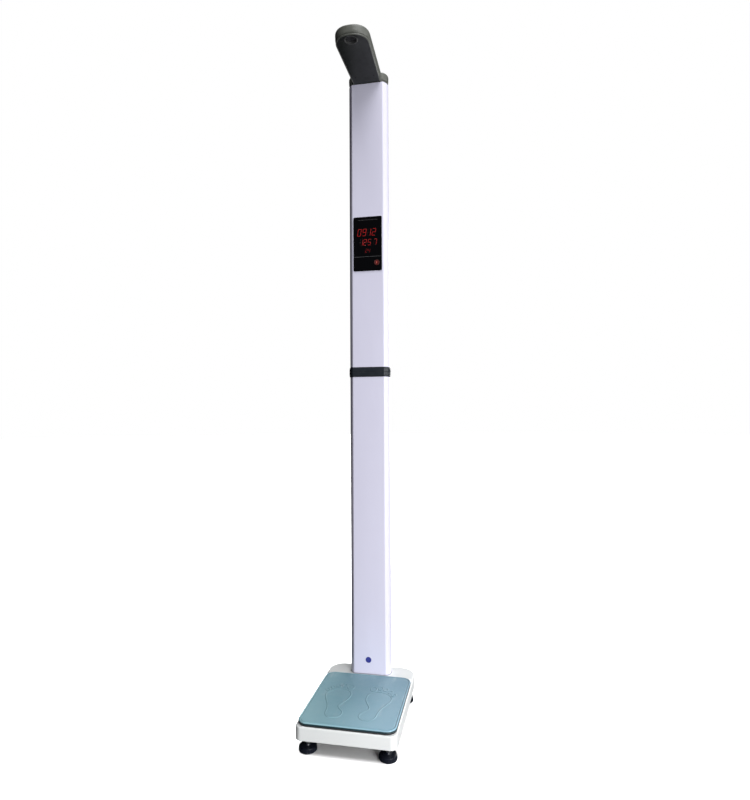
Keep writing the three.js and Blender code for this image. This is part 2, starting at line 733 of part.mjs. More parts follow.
function measuringHead() {
  const screws = [-HEAD_SCREW_X, HEAD_SCREW_X].map((x, i) => (
    part(`head_screw_${i + 1}`, 'steel', headScrew(), x, HEAD_SCREW_Y, HEAD_BOTTOM)));
  return groupAt(0, 0, 0,
    part('head_cover', 'charcoal_abs', headCover()),
    part('head_shell', 'charcoal_abs', headShell()),
    part('transducer_ring', 'black_rubber', transducerRing(), 0, TRANSDUCER_Y, HEAD_BOTTOM),
    part('transducer', 'transducer_grey', transducer(), 0, TRANSDUCER_Y, HEAD_BOTTOM),
    part('sensor_board', 'board_green', sensorBoard(), 0, TRANSDUCER_Y + 62, HEAD_SPLIT_Z + 8),
    ...screws,
  );
}

// The upper collar is the lower one turned over about the pin line.
function upperCollar() {
  const collar = part('upper_collar', 'charcoal_abs', collarHalf(MIDDLE_KNUCKLE));
  collar.geometry.scale(1, 1, -1);
  const order = collar.geometry.index;
  for (let i = 0; i < order.count; i += 3) {
    const first = order.getX(i);
    order.setX(i, order.getX(i + 1));
    order.setX(i + 1, first);
  }
  collar.position.z = FOLD_Z + 0.15;
  return collar;
}

function upperHalf() {
  const trayBottom = DISPLAY_Z - 60;
  const trayTop = DISPLAY_Z + 60;
  const displayLoom = cable([
    [0, 5, FOLD_Z + 12], [0, 5, FOLD_Z + 120], [0, 5, trayBottom - 80],
    [0, 0, trayBottom - 20], [0, -7, trayBottom],
  ], 3);
  const sensorLoom = cable([
    [0, -7, trayTop], [0, 0, trayTop + 20], [0, 3, trayTop + 80], [0, 3, 2150],
    [0, 2, HEAD_BOTTOM + 4], [0, -12, HEAD_SPLIT_Z + 8], [0, -60, HEAD_SPLIT_Z + 8],
    [0, -170, HEAD_SPLIT_Z + 6],
  ], 2.5);
  return groupAt(0, COLUMN_Y, 0,
    upperCollar(),
    part('catch_plate', 'steel', post(MAGNET_R, 0, 2, 0, 0), 0, MAGNET_Y, FOLD_Z + 0.2),
    part('upper_column', 'column_white', upperColumn()),
    part('display_loom', 'black_rubber', displayLoom),
    part('sensor_loom', 'black_rubber', sensorLoom),
    display(),
    measuringHead(),
  );
}

// ---------------------------------------------------------------- assembly

const scale = new THREE.Group();
scale.add(weighingBase(), levellingFeet(), weighingPan(), lowerHalf(), upperHalf());

export default scale;
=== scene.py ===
import math

import bpy
import numpy as np
from mathutils import Matrix, Vector


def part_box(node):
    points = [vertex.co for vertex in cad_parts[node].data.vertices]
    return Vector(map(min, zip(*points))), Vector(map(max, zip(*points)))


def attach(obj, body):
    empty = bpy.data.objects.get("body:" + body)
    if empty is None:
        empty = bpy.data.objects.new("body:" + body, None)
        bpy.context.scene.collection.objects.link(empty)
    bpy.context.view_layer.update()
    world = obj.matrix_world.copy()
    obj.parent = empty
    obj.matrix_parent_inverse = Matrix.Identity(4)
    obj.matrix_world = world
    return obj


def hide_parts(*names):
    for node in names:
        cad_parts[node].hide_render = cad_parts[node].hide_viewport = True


# The looks of an ultrasonic height and weight scale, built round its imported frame.
# Shapes are drawn in millimetres in the row frame and become metres as they are placed.

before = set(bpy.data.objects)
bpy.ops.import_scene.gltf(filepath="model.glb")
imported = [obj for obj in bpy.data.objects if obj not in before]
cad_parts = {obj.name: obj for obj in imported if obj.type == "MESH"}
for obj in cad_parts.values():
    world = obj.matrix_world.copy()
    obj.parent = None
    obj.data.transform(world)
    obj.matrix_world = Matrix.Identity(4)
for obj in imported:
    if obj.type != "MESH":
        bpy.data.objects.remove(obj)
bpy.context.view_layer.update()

MM = 0.001
QUARTER = math.pi / 2
scene = bpy.context.scene

UPPER = "upper_column_assembly"
PAN = "pan_assembly"


# ---------------------------------------------------------------- sizes

def node_box(node):
    """A CAD node's lowest and highest corners, in millimetres."""
    low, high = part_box(node)
    return np.array(low) / MM, np.array(high) / MM


def middle(node):
    """The middle of a CAD node's box, in millimetres."""
    return sum(node_box(node)) / 2


CASING_LOW, CASING_HIGH = node_box("base_casing")
PAN_LOW, PAN_HIGH = node_box("pan")
MAT_LOW, MAT_HIGH = node_box("mat")
LOWER_LOW, LOWER_HIGH = node_box("lower_column")
UPPER_LOW, UPPER_HIGH = node_box("upper_column")
WINDOW_LOW, WINDOW_HIGH = node_box("display_window")
KEY_LOW, KEY_HIGH = node_box("display_key")
HEAD_LOW, HEAD_HIGH = node_box("head_shell")
COVER_LOW, COVER_HIGH = node_box("head_cover")
PIN_LOW, PIN_HIGH = node_box("hinge_pin")

BASE_W = CASING_HIGH[0] - CASING_LOW[0]
BASE_D = CASING_HIGH[1] - CASING_LOW[1]
SHELF_Z = CASING_HIGH[2]
DECK_Z = SHELF_Z - 7
STEP_Y = 134
CASING_WALL = 3
CASING_EDGE_R = 3.4
FRONT_R = 20
REAR_R = 55
PAN_R = 32
PAN_Y = (PAN_LOW[1] + PAN_HIGH[1]) / 2

COLUMN_Y = (LOWER_LOW[1] + LOWER_HIGH[1]) / 2
COLUMN_HALF = (LOWER_HIGH[1] - LOWER_LOW[1]) / 2
COLUMN_FACE = COLUMN_Y - COLUMN_HALF
COLUMN_BACK = COLUMN_Y + COLUMN_HALF
COLUMN_FLAT = 57.3
COLUMN_BULGE = (LOWER_HIGH[0] - LOWER_LOW[0]) / 2 - COLUMN_FLAT
COLUMN_WALL = 2
BULGE_R = (COLUMN_HALF ** 2 + COLUMN_BULGE ** 2) / (2 * COLUMN_BULGE)
BULGE_X = COLUMN_FLAT + COLUMN_BULGE - BULGE_R
CORNER_R = 3

PIN_Y = (PIN_LOW[1] + PIN_HIGH[1]) / 2
FOLD_Z = (PIN_LOW[2] + PIN_HIGH[2]) / 2
KNUCKLE_R = 6.5
KNUCKLE_GAP = 0.2
COLLAR_H = 17.4
COLLAR_SWELL = 3.4
COLLAR_GAP = 0.15

WINDOW_Z = (WINDOW_LOW[2] + WINDOW_HIGH[2]) / 2
KEY_X = (KEY_LOW[0] + KEY_HIGH[0]) / 2
KEY_Z = (KEY_LOW[2] + KEY_HIGH[2]) / 2
KEY_R = (KEY_HIGH[0] - KEY_LOW[0]) / 2

FEET = ("front_left", "front_right", "rear_left", "rear_right")
FOUR = (1, 2, 3, 4)


# ---------------------------------------------------------------- outlines and profiles

def arc(cx, cy, rx, ry, start, end, steps, power=2.0):
    """Points on part of an ellipse, or of a squarer superellipse."""
    angle = np.linspace(start, end, steps + 1)
    c, s = np.cos(angle), np.sin(angle)
    x = cx + rx * np.sign(c) * np.abs(c) ** (2 / power)
    y = cy + ry * np.sign(s) * np.abs(s) ** (2 / power)
    return np.column_stack([x, y])


def mirrored(right):
    """A closed outline from its right half, which runs from front to back."""
    left = right[::-1] * [-1, 1]
    return np.vstack([right, left[np.abs(left[:, 0]) > 1e-6]])


def column_side(grow=0.0, steps=26):
    """The column's right side from front to back: a round bulge between two eased corners."""
    reach = BULGE_R + grow
    half = COLUMN_HALF + grow
    start = math.asin(half / reach)
    bulge = arc(BULGE_X, 0, reach, reach, -start, start, steps)
    ends = BULGE_X + reach * math.cos(start)
    points = [(0, -half), (ends, -half, CORNER_R), *bulge[1:-1], (ends, half, CORNER_R), (0, half)]
    return np.array(fillet(points)[1:-1]) + [0, COLUMN_Y]


def column_outline(grow=0.0):
    """The column section: flat front and back, and bulged sides."""
    return mirrored(column_side(grow))


def rounded_rect(width, depth, radius, steps=10):
    """A rectangle with round corners, about the origin."""
    x, y = width / 2 - radius, depth / 2 - radius
    front = arc(x, -y, radius, radius, -QUARTER, 0, steps)
    back = arc(x, y, radius, radius, 0, QUARTER, steps)
    return mirrored(np.vstack([front, back]))


def hexagon(across_corners, count=48):
    """A hexagon with count points, so that it can join a circle of as many."""
    angle = np.linspace(0, 2 * math.pi, count, endpoint=False)
    flat = angle % (math.pi / 3) - math.pi / 6
    radius = across_corners * math.cos(math.pi / 6) / np.cos(flat)
    return np.column_stack([radius * np.cos(angle), radius * np.sin(angle)])


def circle(radius, count=48):
    angle = np.linspace(0, 2 * math.pi, count, endpoint=False)
    return np.column_stack([radius * np.cos(angle), radius * np.sin(angle)])


def inset(outline, distance):
    """A closed outline moved inwards along its own normals."""
    before, after = np.roll(outline, 1, 0), np.roll(outline, -1, 0)
    into, out = outline - before, after - outline
    into /= np.maximum(np.linalg.norm(into, axis=1, keepdims=True), 1e-9)
    out /= np.maximum(np.linalg.norm(out, axis=1, keepdims=True), 1e-9)
    along = into + out
    along /= np.linalg.norm(along, axis=1, keepdims=True)
    normal = np.column_stack([along[:, 1], -along[:, 0]])
    spread = np.maximum(np.abs((normal * np.column_stack([out[:, 1], -out[:, 0]])).sum(1)), 0.5)
    return outline - normal * (distance / spread)[:, None]


def fillet(points, steps=6):
    """A profile of (a, b) or (a, b, radius) points with those corners rounded."""
    rounded = []
    for i, point in enumerate(points):
        here = np.array(point[:2], float)
        radius = point[2] if len(point) > 2 else 0
        if radius == 0 or i in (0, len(points) - 1):
            rounded.append(here)
            continue
        back = np.array(points[i - 1][:2], float) - here
        on = np.array(points[i + 1][:2], float) - here
        back_length, on_length = np.linalg.norm(back), np.linalg.norm(on)
        back, on = back / back_length, on / on_length
        half = math.acos(max(-1, min(1, back @ on))) / 2
        reach = min(radius / math.tan(half), 0.49 * back_length, 0.49 * on_length)
        for t in np.linspace(0, 1, steps + 1):
            a, b = here + back * reach * (1 - t) ** 2, on * reach * t ** 2
            rounded.append(a + b)
    return rounded


# ---------------------------------------------------------------- meshes

def ring(outline, z):
    """An outline at one height, or at a height for each of its points."""
    return np.column_stack([outline, np.broadcast_to(z, len(outline))])


def stepped(outline, levels):
    """Rings of one outline, from (inset, height) levels."""
    return [ring(inset(outline, distance), z) for distance, z in levels]


def column_rings(levels):
    """Rings of the column's section, from (growth, height) levels."""
    return [ring(column_outline(grow), z) for grow, z in levels]


def round_over(radius, top, steps):
    """(inset, height) levels that round an edge over on to its top face."""
    turns = np.linspace(0, QUARTER, steps)
    return [(radius * (1 - math.cos(t)), top - radius * (1 - math.sin(t))) for t in turns]


def skin(rings, loop=False, caps=True):
    """Points and faces of a skin through rings with equal numbers of points."""
    count, levels = len(rings[0]), len(rings)
    faces = []
    for level in range(levels if loop else levels - 1):
        low, high = level * count, (level + 1) % levels * count
        for i in range(count):
            j = (i + 1) % count
            faces.append((low + i, low + j, high + j, high + i))
    if caps and not loop:
        faces.append(tuple(reversed(range(count))))
        faces.append(tuple(range((levels - 1) * count, levels * count)))
    return np.vstack(rings), faces


def turned(profile, segments=64, shape=None):
    """Points and faces of a piece turned about Z from (radius, height) points.
    shape(angle, height) scales the radius, for flutes and knurls."""
    angle = np.linspace(0, 2 * math.pi, segments, endpoint=False)
    points, rows, faces = [], [], []
    for radius, height in profile:
        if radius < 1e-6:
            rows.append([len(points)])
            points.append((0.0, 0.0, height))
            continue
        reach = radius * (shape(angle, height) if shape else np.ones(segments))
        rows.append(list(range(len(points), len(points) + segments)))
        points += list(zip(reach * np.cos(angle), reach * np.sin(angle), [height] * segments))
    closed = len(rows[0]) > 1
    pairs = list(zip(rows, rows[1:])) + ([(rows[-1], rows[0])] if closed else [])
    for low, high in pairs:
        for i in range(segments):
            j = (i + 1) % segments
            corners = [low[i % len(low)], low[j % len(low)], high[j % len(high)], high[i % len(high)]]
            face = tuple(dict.fromkeys(corners))
            if len(face) > 2:
                faces.append(face)
    return np.array(points), faces


def box_shape(low, high):
    """Points and faces of a box, used for cutting."""
    (x0, y0, z0), (x1, y1, z1) = low, high
    base = np.array([[x0, y0], [x1, y0], [x1, y1], [x0, y1]], float)
    return skin([ring(base, z0), ring(base, z1)])


def drum(radius, z0, z1, count=48):
    """Points and faces of a plain drum about Z, used for cutting and joining."""
    return skin([ring(circle(radius, count), z0), ring(circle(radius, count), z1)])


def moved(shape, x=0.0, y=0.0, z=0.0):
    points, faces = shape
    return points + [x, y, z], faces


def facing(shape, way):
    """A shape drawn up along +Z, turned to stand along another axis."""
    x, y, z = shape[0].T
    turns = {
        "+Y": (x, z, -y),
        "-Y": (x, -z, y),
        "+X": (z, y, -x),
        "-Z": (x, -y, -z),
    }
    return np.column_stack(turns[way]), shape[1]


def merged(*shapes):
    """Separate shapes in one list of points and faces."""
    points, faces, start = [], [], 0
    for shape_points, shape_faces in shapes:
        points.append(shape_points)
        faces += [tuple(start + i for i in face) for face in shape_faces]
        start += len(shape_points)
    return np.vstack(points), faces


def to_object(shape, name="tool"):
    """A Blender object from a shape, in metres."""
    points, faces = shape
    mesh = bpy.data.meshes.new(name)
    mesh.from_pydata((points * MM).tolist(), [], faces)
    obj = bpy.data.objects.new(name, mesh)
    scene.collection.objects.link(obj)
    return obj


def shift(obj, x, y, z):
    """Moves an object's points by millimetres."""
    obj.data.transform(Matrix.Translation((x * MM, y * MM, z * MM)))
    return obj


def solved(obj):
    """Puts an object's modifiers into its mesh."""
    bpy.context.view_layer.update()
    depsgraph = bpy.context.evaluated_depsgraph_get()
    mesh = bpy.data.meshes.new_from_object(obj.evaluated_get(depsgraph))
    obj.modifiers.clear()
    old = obj.data
    obj.data = mesh
    bpy.data.meshes.remove(old)
    return obj


def combined(base, *steps):
    """An object made from a base shape, where each step is ("cut" or "join", shape)."""
    obj = to_object(base)
    tools = []
    for kind, shape in steps:
        tool = to_object(shape)
        modifier = obj.modifiers.new(kind, "BOOLEAN")
        modifier.operation = "DIFFERENCE" if kind == "cut" else "UNION"
        modifier.solver = "EXACT"
        modifier.object = tool
        tools.append(tool)
    solved(obj)
    for tool in tools:
        mesh = tool.data
        bpy.data.objects.remove(tool)
        bpy.data.meshes.remove(mesh)
    return obj


def place(name, shape, paint, body, replaces=(), sharp=32, bevel=0.0):
    """Gives a shape or object its name, finish and body."""
    obj = shape if isinstance(shape, bpy.types.Object) else to_object(shape)
    obj.name = name
    obj.data.name = name
    obj.data.materials.clear()
    obj.data.materials.append(paint)
    obj.data.shade_smooth()
    obj.data.set_sharp_from_angle(angle=math.radians(sharp))
    if bevel:
        soften(obj, bevel)
    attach(obj, body)
    if replaces:
        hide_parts(*replaces)
    return obj


def soften(obj, width):
    """Rounds an object's hard edges, so that they catch the light."""
    bevel = obj.modifiers.new("edges", "BEVEL")
    bevel.width = width * MM
    bevel.segments = 2
    bevel.limit_method = "ANGLE"
    bevel.angle_limit = math.radians(40)
    bevel.use_clamp_overlap = True
    normals = obj.modifiers.new("normals", "WEIGHTED_NORMAL")
    normals.keep_sharp = True


# ---------------------------------------------------------------- materials

class Graph:
    """A tree of shader nodes, and short calls that add to it."""

    def __init__(self, tree):
        self.tree = tree

    def node(self, kind, inputs=None, **settings):
        made = self.tree.nodes.new("ShaderNode" + kind)
        for key, value in settings.items():
            setattr(made, key, value)
        for socket, value in (inputs or {}).items():
            self.feed(made.inputs[socket], value)
        return made

    def feed(self, socket, value):
        if isinstance(value, bpy.types.NodeSocket):
            self.tree.links.new(value, socket)
        else:
            socket.default_value = value

    def span(self, value, low, high, out_low, out_high):
        """Maps value from one range to another, and clamps it."""
        inputs = {"Value": value, "From Min": low, "From Max": high, "To Min": out_low, "To Max": out_high}
        return self.node("MapRange", inputs).outputs["Result"]

    def mix(self, factor, a, b):
        node = self.node("Mix", data_type="RGBA")
        for index, value in ((0, factor), (6, a), (7, b)):
            self.feed(node.inputs[index], value)
        return node.outputs[2]

    def math(self, operation, a, b=0.0):
        return self.node("Math", {0: a, 1: b}, operation=operation).outputs["Value"]


class Paint(Graph):
    """A procedural material: one Principled shader, and short calls for what feeds it."""

    def __init__(self, name, **constants):
        self.material = bpy.data.materials.new(name)
        self.material.use_nodes = True
        super().__init__(self.material.node_tree)
        self.shader = self.tree.nodes["Principled BSDF"]
        for socket, value in constants.items():
            self.shader.inputs[socket.replace("_", " ")].default_value = value
        self.place = self.node("TexCoord").outputs["Object"]
        self.normal = None

    def noise(self, scale, detail=2.0, stretch=None):
        """Noise from 0 to 1, with features about 1 / scale metres across."""
        vector = self.place
        if stretch:
            vector = self.node("Mapping", {"Vector": vector, "Scale": stretch}).outputs["Vector"]
        inputs = {"Vector": vector, "Scale": scale, "Detail": detail}
        return self.node("TexNoise", inputs).outputs["Fac"]

    def cells(self, scale):
        """The distance to the nearest of scattered points, about 1 / scale metres apart."""
        return self.node("TexVoronoi", {"Vector": self.place, "Scale": scale}).outputs["Distance"]

    def edges(self, low=0.52, high=0.62):
        """1 on convex edges and 0 on flat ground."""
        pointiness = self.node("NewGeometry").outputs["Pointiness"]
        return self.span(pointiness, low, high, 0.0, 1.0)

    def along(self, axis):
        """The place along one axis, in metres."""
        return self.node("SeparateXYZ", {"Vector": self.place}).outputs[axis]

    def bump(self, height, depth, strength=1.0):
        """Adds relief whose height runs over depth metres."""
        inputs = {"Height": height, "Distance": depth, "Strength": strength}
        if self.normal:
            inputs["Normal"] = self.normal
        self.normal = self.node("Bump", inputs).outputs["Normal"]

    def done(self, colour, roughness=None):
        self.feed(self.shader.inputs["Base Color"], colour)
        if roughness is not None:
            self.feed(self.shader.inputs["Roughness"], roughness)
        if self.normal:
            self.feed(self.shader.inputs["Normal"], self.normal)
        return self.material


def rgb(r, g, b):
    return (r, g, b, 1.0)


def shade(colour, factor):
    return (*(min(1.0, c * factor) for c in colour[:3]), 1.0)


def moulding(name, colour, roughness, grain=1400, depth=0.00003, vary=0.06, edge_wear_and_highlight=1.25, **constants):
    """Moulded plastic or paint: fine grain, slow colour drift, edges rubbed smoother, and edges paler,
    partly from rubbed wear and partly as a painted highlight.
    """
    paint = Paint(name, **constants)
    drift = paint.span(paint.noise(9, 3), 0.3, 0.7, 0.0, 1.0)
    body = paint.mix(drift, shade(colour, 1 - vary), shade(colour, 1 + vary))
    specks = paint.span(paint.noise(grain * 0.4, 1), 0.66, 0.75, 0.0, 0.35)
    body = paint.mix(specks, body, shade(colour, 1 + 2.5 * vary))
    edge = paint.edges()
    # Paler edges: partly rubbed wear, partly a painted highlight where edges catch the light, strongest on
    # the dark plastics.
    body = paint.mix(paint.math("MULTIPLY", edge, 0.6), body, shade(colour, edge_wear_and_highlight))
    rough = paint.span(paint.noise(60, 4), 0.3, 0.7, roughness - 0.05, roughness + 0.07)
    rough = paint.math("SUBTRACT", rough, paint.math("MULTIPLY", edge, 0.1))
    paint.bump(paint.noise(grain, 2), depth)
    paint.bump(paint.cells(grain * 0.6), depth * 0.8, 0.6)
    return paint.done(body, rough)


def powder_coat(name, colour, roughness):
    """Powder coat on an extrusion: orange peel, flecks, faint draw lines and smears."""
    paint = Paint(name, Specular_IOR_Level=0.5, Coat_Weight=0.15, Coat_Roughness=0.25)
    drift = paint.span(paint.noise(5, 3, (1, 1, 0.3)), 0.3, 0.7, 0.0, 1.0)
    body = paint.mix(drift, shade(colour, 0.975), shade(colour, 1.02))
    flecks = paint.span(paint.noise(700, 1), 0.7, 0.78, 0.0, 0.25)
    body = paint.mix(flecks, body, shade(colour, 0.82))
    smears = paint.span(paint.noise(22, 5, (1, 1, 0.12)), 0.55, 0.75, 0.0, 0.05)
    rough = paint.span(paint.noise(45, 4), 0.3, 0.7, roughness - 0.04, roughness + 0.06)
    rough = paint.math("ADD", rough, smears)
    paint.bump(paint.noise(420, 2), 0.00006, 0.7)
    paint.bump(paint.noise(160, 1, (1, 1, 0.01)), 0.00003, 0.5)
    return paint.done(body, rough)


def brushed(name, colour, roughness, stretch=(1, 1, 0.02), grain=500):
    """Metal with a brushed or drawn grain along one axis, and faint staining."""
    paint = Paint(name, Metallic=1.0)
    lines = paint.noise(grain, 3, stretch)
    stain = paint.span(paint.noise(40, 4), 0.35, 0.7, 0.0, 1.0)
    body = paint.mix(stain, shade(colour, 0.9), shade(colour, 1.08))
    body = paint.mix(paint.math("MULTIPLY", lines, 0.35), body, shade(colour, 0.7))
    rough = paint.span(lines, 0.3, 0.7, roughness - 0.08, roughness + 0.1)
    paint.bump(lines, 0.00002, 0.6)
    return paint.done(body, rough)


def zinc(name, colour, roughness):
    """Zinc plate: soft spangle, small pits and darker hollows."""
    paint = Paint(name, Metallic=1.0)
    spangle = paint.cells(260)
    hollows = paint.span(paint.node("NewGeometry").outputs["Pointiness"], 0.42, 0.5, 1.0, 0.0)
    body = paint.mix(paint.span(spangle, 0.0, 0.6, 0.0, 1.0), shade(colour, 0.92), shade(colour, 1.06))
    body = paint.mix(paint.math("MULTIPLY", hollows, 0.6), body, shade(colour, 0.3))
    rough = paint.span(paint.noise(220, 3), 0.3, 0.7, roughness - 0.07, roughness + 0.12)
    paint.bump(paint.noise(900, 2), 0.00002)
    return paint.done(body, rough)


def rubber(name, colour, roughness, stipple=600, depth=0.00008):
    """Rubber: stippled and dull, with a pale bloom."""
    paint = Paint(name, Sheen_Weight=0.15, Sheen_Roughness=0.6, Specular_IOR_Level=0.35)
    bloom = paint.span(paint.noise(70, 5), 0.45, 0.75, 0.0, 0.5)
    body = paint.mix(bloom, colour, shade(colour, 1.8))
    body = paint.mix(paint.math("MULTIPLY", paint.edges(), 0.5), body, shade(colour, 2.2))
    rough = paint.span(paint.noise(120, 3), 0.3, 0.7, roughness - 0.08, roughness + 0.08)
    paint.bump(paint.cells(stipple), depth, 0.7)
    return paint.done(body, rough)


def solder_mask(name):
    """A circuit board: green mask with lighter tracks and a faint weave."""
    paint = Paint(name, Roughness=0.35, Coat_Weight=0.3)
    brick = paint.node("TexBrick", {"Vector": paint.place, "Scale": 260.0, "Mortar Size": 0.03})
    tracks = paint.span(brick.outputs["Fac"], 0.0, 1.0, 0.0, 0.7)
    body = paint.mix(tracks, rgb(0.012, 0.10, 0.045), rgb(0.03, 0.22, 0.09))
    pads = paint.span(paint.cells(330), 0.08, 0.12, 1.0, 0.0)
    body = paint.mix(paint.math("MULTIPLY", pads, 0.8), body, rgb(0.55, 0.50, 0.38))
    paint.bump(brick.outputs["Fac"], 0.00005)
    return paint.done(body, paint.span(paint.noise(90, 3), 0.3, 0.7, 0.28, 0.45))


def mat_rubber(name):
    """The mat: grey-teal rubber with a fine stipple, its tone shifting from left to right; that shift is
    partly a real tint towards blue and partly painted light, set against the light from the right. Its
    ridge tops carry a painted highlight and its hollows painted shade.
    """
    paint = Paint(name, Sheen_Weight=0.1, Sheen_Roughness=0.5, Specular_IOR_Level=0.4)
    # Painted light, in part: the left-to-right tone is set against how the light from the right falls
    # across the mat, over a real shift from teal towards blue.
    across = paint.span(paint.along("X"), -0.15, 0.15, 0.0, 1.0)
    base = paint.mix(across, MAT_LEFT, MAT_RIGHT)
    # The mat is darker towards the back.
    toward_front = paint.span(paint.along("Y"), -0.20, 0.13, 1.0, 0.0)
    base = paint.mix(toward_front, paint.mix(0.42, base, rgb(0.02, 0.07, 0.13)), base)
    drift = paint.span(paint.noise(7, 4), 0.3, 0.7, 0.0, 1.0)
    body = paint.mix(drift, base, paint.mix(0.12, base, rgb(0.5, 0.62, 0.66)))
    scuffs = paint.span(paint.noise(38, 6, (1, 0.35, 1)), 0.6, 0.8, 0.0, 0.22)
    body = paint.mix(scuffs, body, rgb(0.55, 0.64, 0.66))
    # Painted highlight: the ridge tops of the footprints and the welt are lightened as if catching the
    # light.
    body = paint.mix(paint.math("MULTIPLY", paint.edges(0.51, 0.57), 0.3), body, rgb(0.50, 0.64, 0.68))
    # Painted shade: the hollows at the foot of the ridges and the groove round the edge are darkened as if
    # in shadow.
    hollow_shade = paint.span(paint.node("NewGeometry").outputs["Pointiness"], 0.455, 0.498, 0.9, 0.0)
    body = paint.mix(hollow_shade, body, rgb(0.06, 0.11, 0.13))
    paint.bump(paint.cells(800), 0.00010, 0.55)
    paint.bump(paint.noise(2200, 1), 0.00003, 0.5)
    return paint.done(body, paint.span(paint.noise(50, 4), 0.3, 0.7, 0.5, 0.66))


def gloss_black(name):
    """Polished acrylic: deep black, with hairline scratches and a little dust."""
    paint = Paint(name, Specular_IOR_Level=0.5, Coat_Weight=0.4, Coat_Roughness=0.03)
    scratches = paint.span(paint.noise(420, 2, (1, 1, 0.03)), 0.68, 0.74, 0.0, 0.10)
    cross = paint.span(paint.noise(380, 2, (0.05, 1, 1)), 0.70, 0.76, 0.0, 0.08)
    dust = paint.span(paint.noise(900, 1), 0.74, 0.8, 0.0, 0.2)
    body = paint.mix(dust, rgb(0.0028, 0.0028, 0.0034), rgb(0.02, 0.02, 0.022))
    rough = paint.math("ADD", paint.math("ADD", scratches, cross), 0.07)
    paint.bump(paint.noise(30, 1), 0.00002, 0.3)
    return paint.done(body, paint.math("ADD", rough, dust))


def lit_segment(name, colour, strength):
    """A lit bar, with a slightly uneven diffuser."""
    paint = Paint(name, Roughness=0.4, Emission_Strength=strength)
    uneven = paint.span(paint.noise(350, 2), 0.25, 0.75, 0.0, 1.0)
    glow = paint.mix(uneven, shade(colour, 0.75), shade(colour, 1.15))
    paint.feed(paint.shader.inputs["Emission Color"], glow)
    body = paint.mix(uneven, rgb(0.10, 0.003, 0.004), rgb(0.16, 0.006, 0.006))
    paint.bump(paint.noise(1500, 1), 0.00002)
    return paint.done(body, paint.span(uneven, 0.0, 1.0, 0.35, 0.45))


def key_red_plastic(name):
    """The key: dark translucent red, paler along its edge."""
    paint = Paint(
        name, Subsurface_Weight=0.15, Subsurface_Radius=(0.002, 0.0005, 0.0004), Coat_Weight=0.1,
        Emission_Color=rgb(1.0, 0.05, 0.02), Emission_Strength=0.03,
    )
    drift = paint.span(paint.noise(90, 3), 0.3, 0.7, 0.0, 1.0)
    body = paint.mix(drift, rgb(0.030, 0.003, 0.003), rgb(0.050, 0.005, 0.005))
    body = paint.mix(paint.math("MULTIPLY", paint.edges(), 0.5), body, rgb(0.10, 0.015, 0.012))
    paint.bump(paint.noise(1300, 2), 0.00002)
    return paint.done(body, paint.span(paint.noise(200, 3), 0.3, 0.7, 0.25, 0.42))


def sensor_mesh(name):
    """The transducer's face: a fine woven grille over dark foam."""
    paint = Paint(name, Metallic=0.6)
    inputs = {"Vector": paint.place, "Scale": 260.0}
    warp, weft = (paint.node("TexWave", inputs, bands_direction=way).outputs["Fac"] for way in "XY")
    wires = paint.math("MAXIMUM", warp, weft)
    shown = paint.span(wires, 0.5, 0.95, 0.0, 1.0)
    body = paint.mix(shown, rgb(0.004, 0.004, 0.005), rgb(0.10, 0.10, 0.105))
    paint.bump(wires, 0.00025)
    return paint.done(body, paint.span(paint.noise(300, 2), 0.3, 0.7, 0.4, 0.6))


# The mat's left and right tones; their difference is partly painted light, set against the light from the
# right.
MAT_LEFT = rgb(0.240, 0.450, 0.500)
MAT_RIGHT = rgb(0.205, 0.385, 0.500)

WHITE_COAT = powder_coat("column_powder_coat", rgb(0.66, 0.65, 0.79), 0.42)
CASING = moulding(
    "casing_abs", rgb(0.78, 0.80, 0.80), 0.42, grain=1100, vary=0.02, edge_wear_and_highlight=1.08, Specular_IOR_Level=0.5)
# The cover and the shell are one charcoal plastic in two copies: the cover's is darker, painted shade for
# the underside that faces the floor, and the shell's CHARCOAL is the lighter, lit copy.
UNDERSIDE_SHADE_CHARCOAL = moulding(
    "cover_abs_painted_shade", rgb(0.013, 0.015, 0.013), 0.42, grain=1300, depth=0.00005, vary=0.12, edge_wear_and_highlight=3.4,
    Specular_IOR_Level=0.4)
CHARCOAL = moulding(
    "charcoal_abs", rgb(0.100, 0.104, 0.092), 0.38, grain=1300, depth=0.00005, vary=0.12, edge_wear_and_highlight=1.9)
COLLAR_PAINT = moulding(
    "collar_abs", rgb(0.011, 0.015, 0.021), 0.42, grain=1300, depth=0.00004, vary=0.12, edge_wear_and_highlight=2.2)
BLACK_PLASTIC = moulding(
    "black_moulding", rgb(0.008, 0.010, 0.017), 0.3, grain=900, depth=0.00003, vary=0.2, edge_wear_and_highlight=3.0,
    Specular_IOR_Level=0.4)
PAN_PAINT = moulding("pan_paint", rgb(0.010, 0.033, 0.041), 0.42, grain=700, vary=0.08, edge_wear_and_highlight=1.7)
BLACK_RUBBER = rubber("black_rubber", rgb(0.012, 0.012, 0.013), 0.75)
CABLE_JACKET = rubber("cable_jacket", rgb(0.015, 0.015, 0.016), 0.6, 900, 0.00003)
MAT = mat_rubber("mat_rubber")
ACRYLIC = gloss_black("polished_acrylic")
BLACK_STEEL = zinc("black_oxide", rgb(0.03, 0.03, 0.032), 0.4)
STEEL = zinc("zinc_plate", rgb(0.56, 0.57, 0.58), 0.32)
PIN_STEEL = brushed("drawn_steel", rgb(0.60, 0.60, 0.61), 0.28, (0.02, 1, 1))
ALUMINIUM = brushed("milled_aluminium", rgb(0.66, 0.67, 0.69), 0.36, (1, 0.03, 1))
NICKEL = brushed("nickel_plate", rgb(0.62, 0.61, 0.58), 0.2, (1, 1, 1), 260)
BOARD = solder_mask("solder_mask")
LED_BODY = moulding("digit_housing", rgb(0.05, 0.012, 0.012), 0.3, grain=900, vary=0.15)
LIT = lit_segment("lit_segment", rgb(1.0, 0.012, 0.014), 0.33)
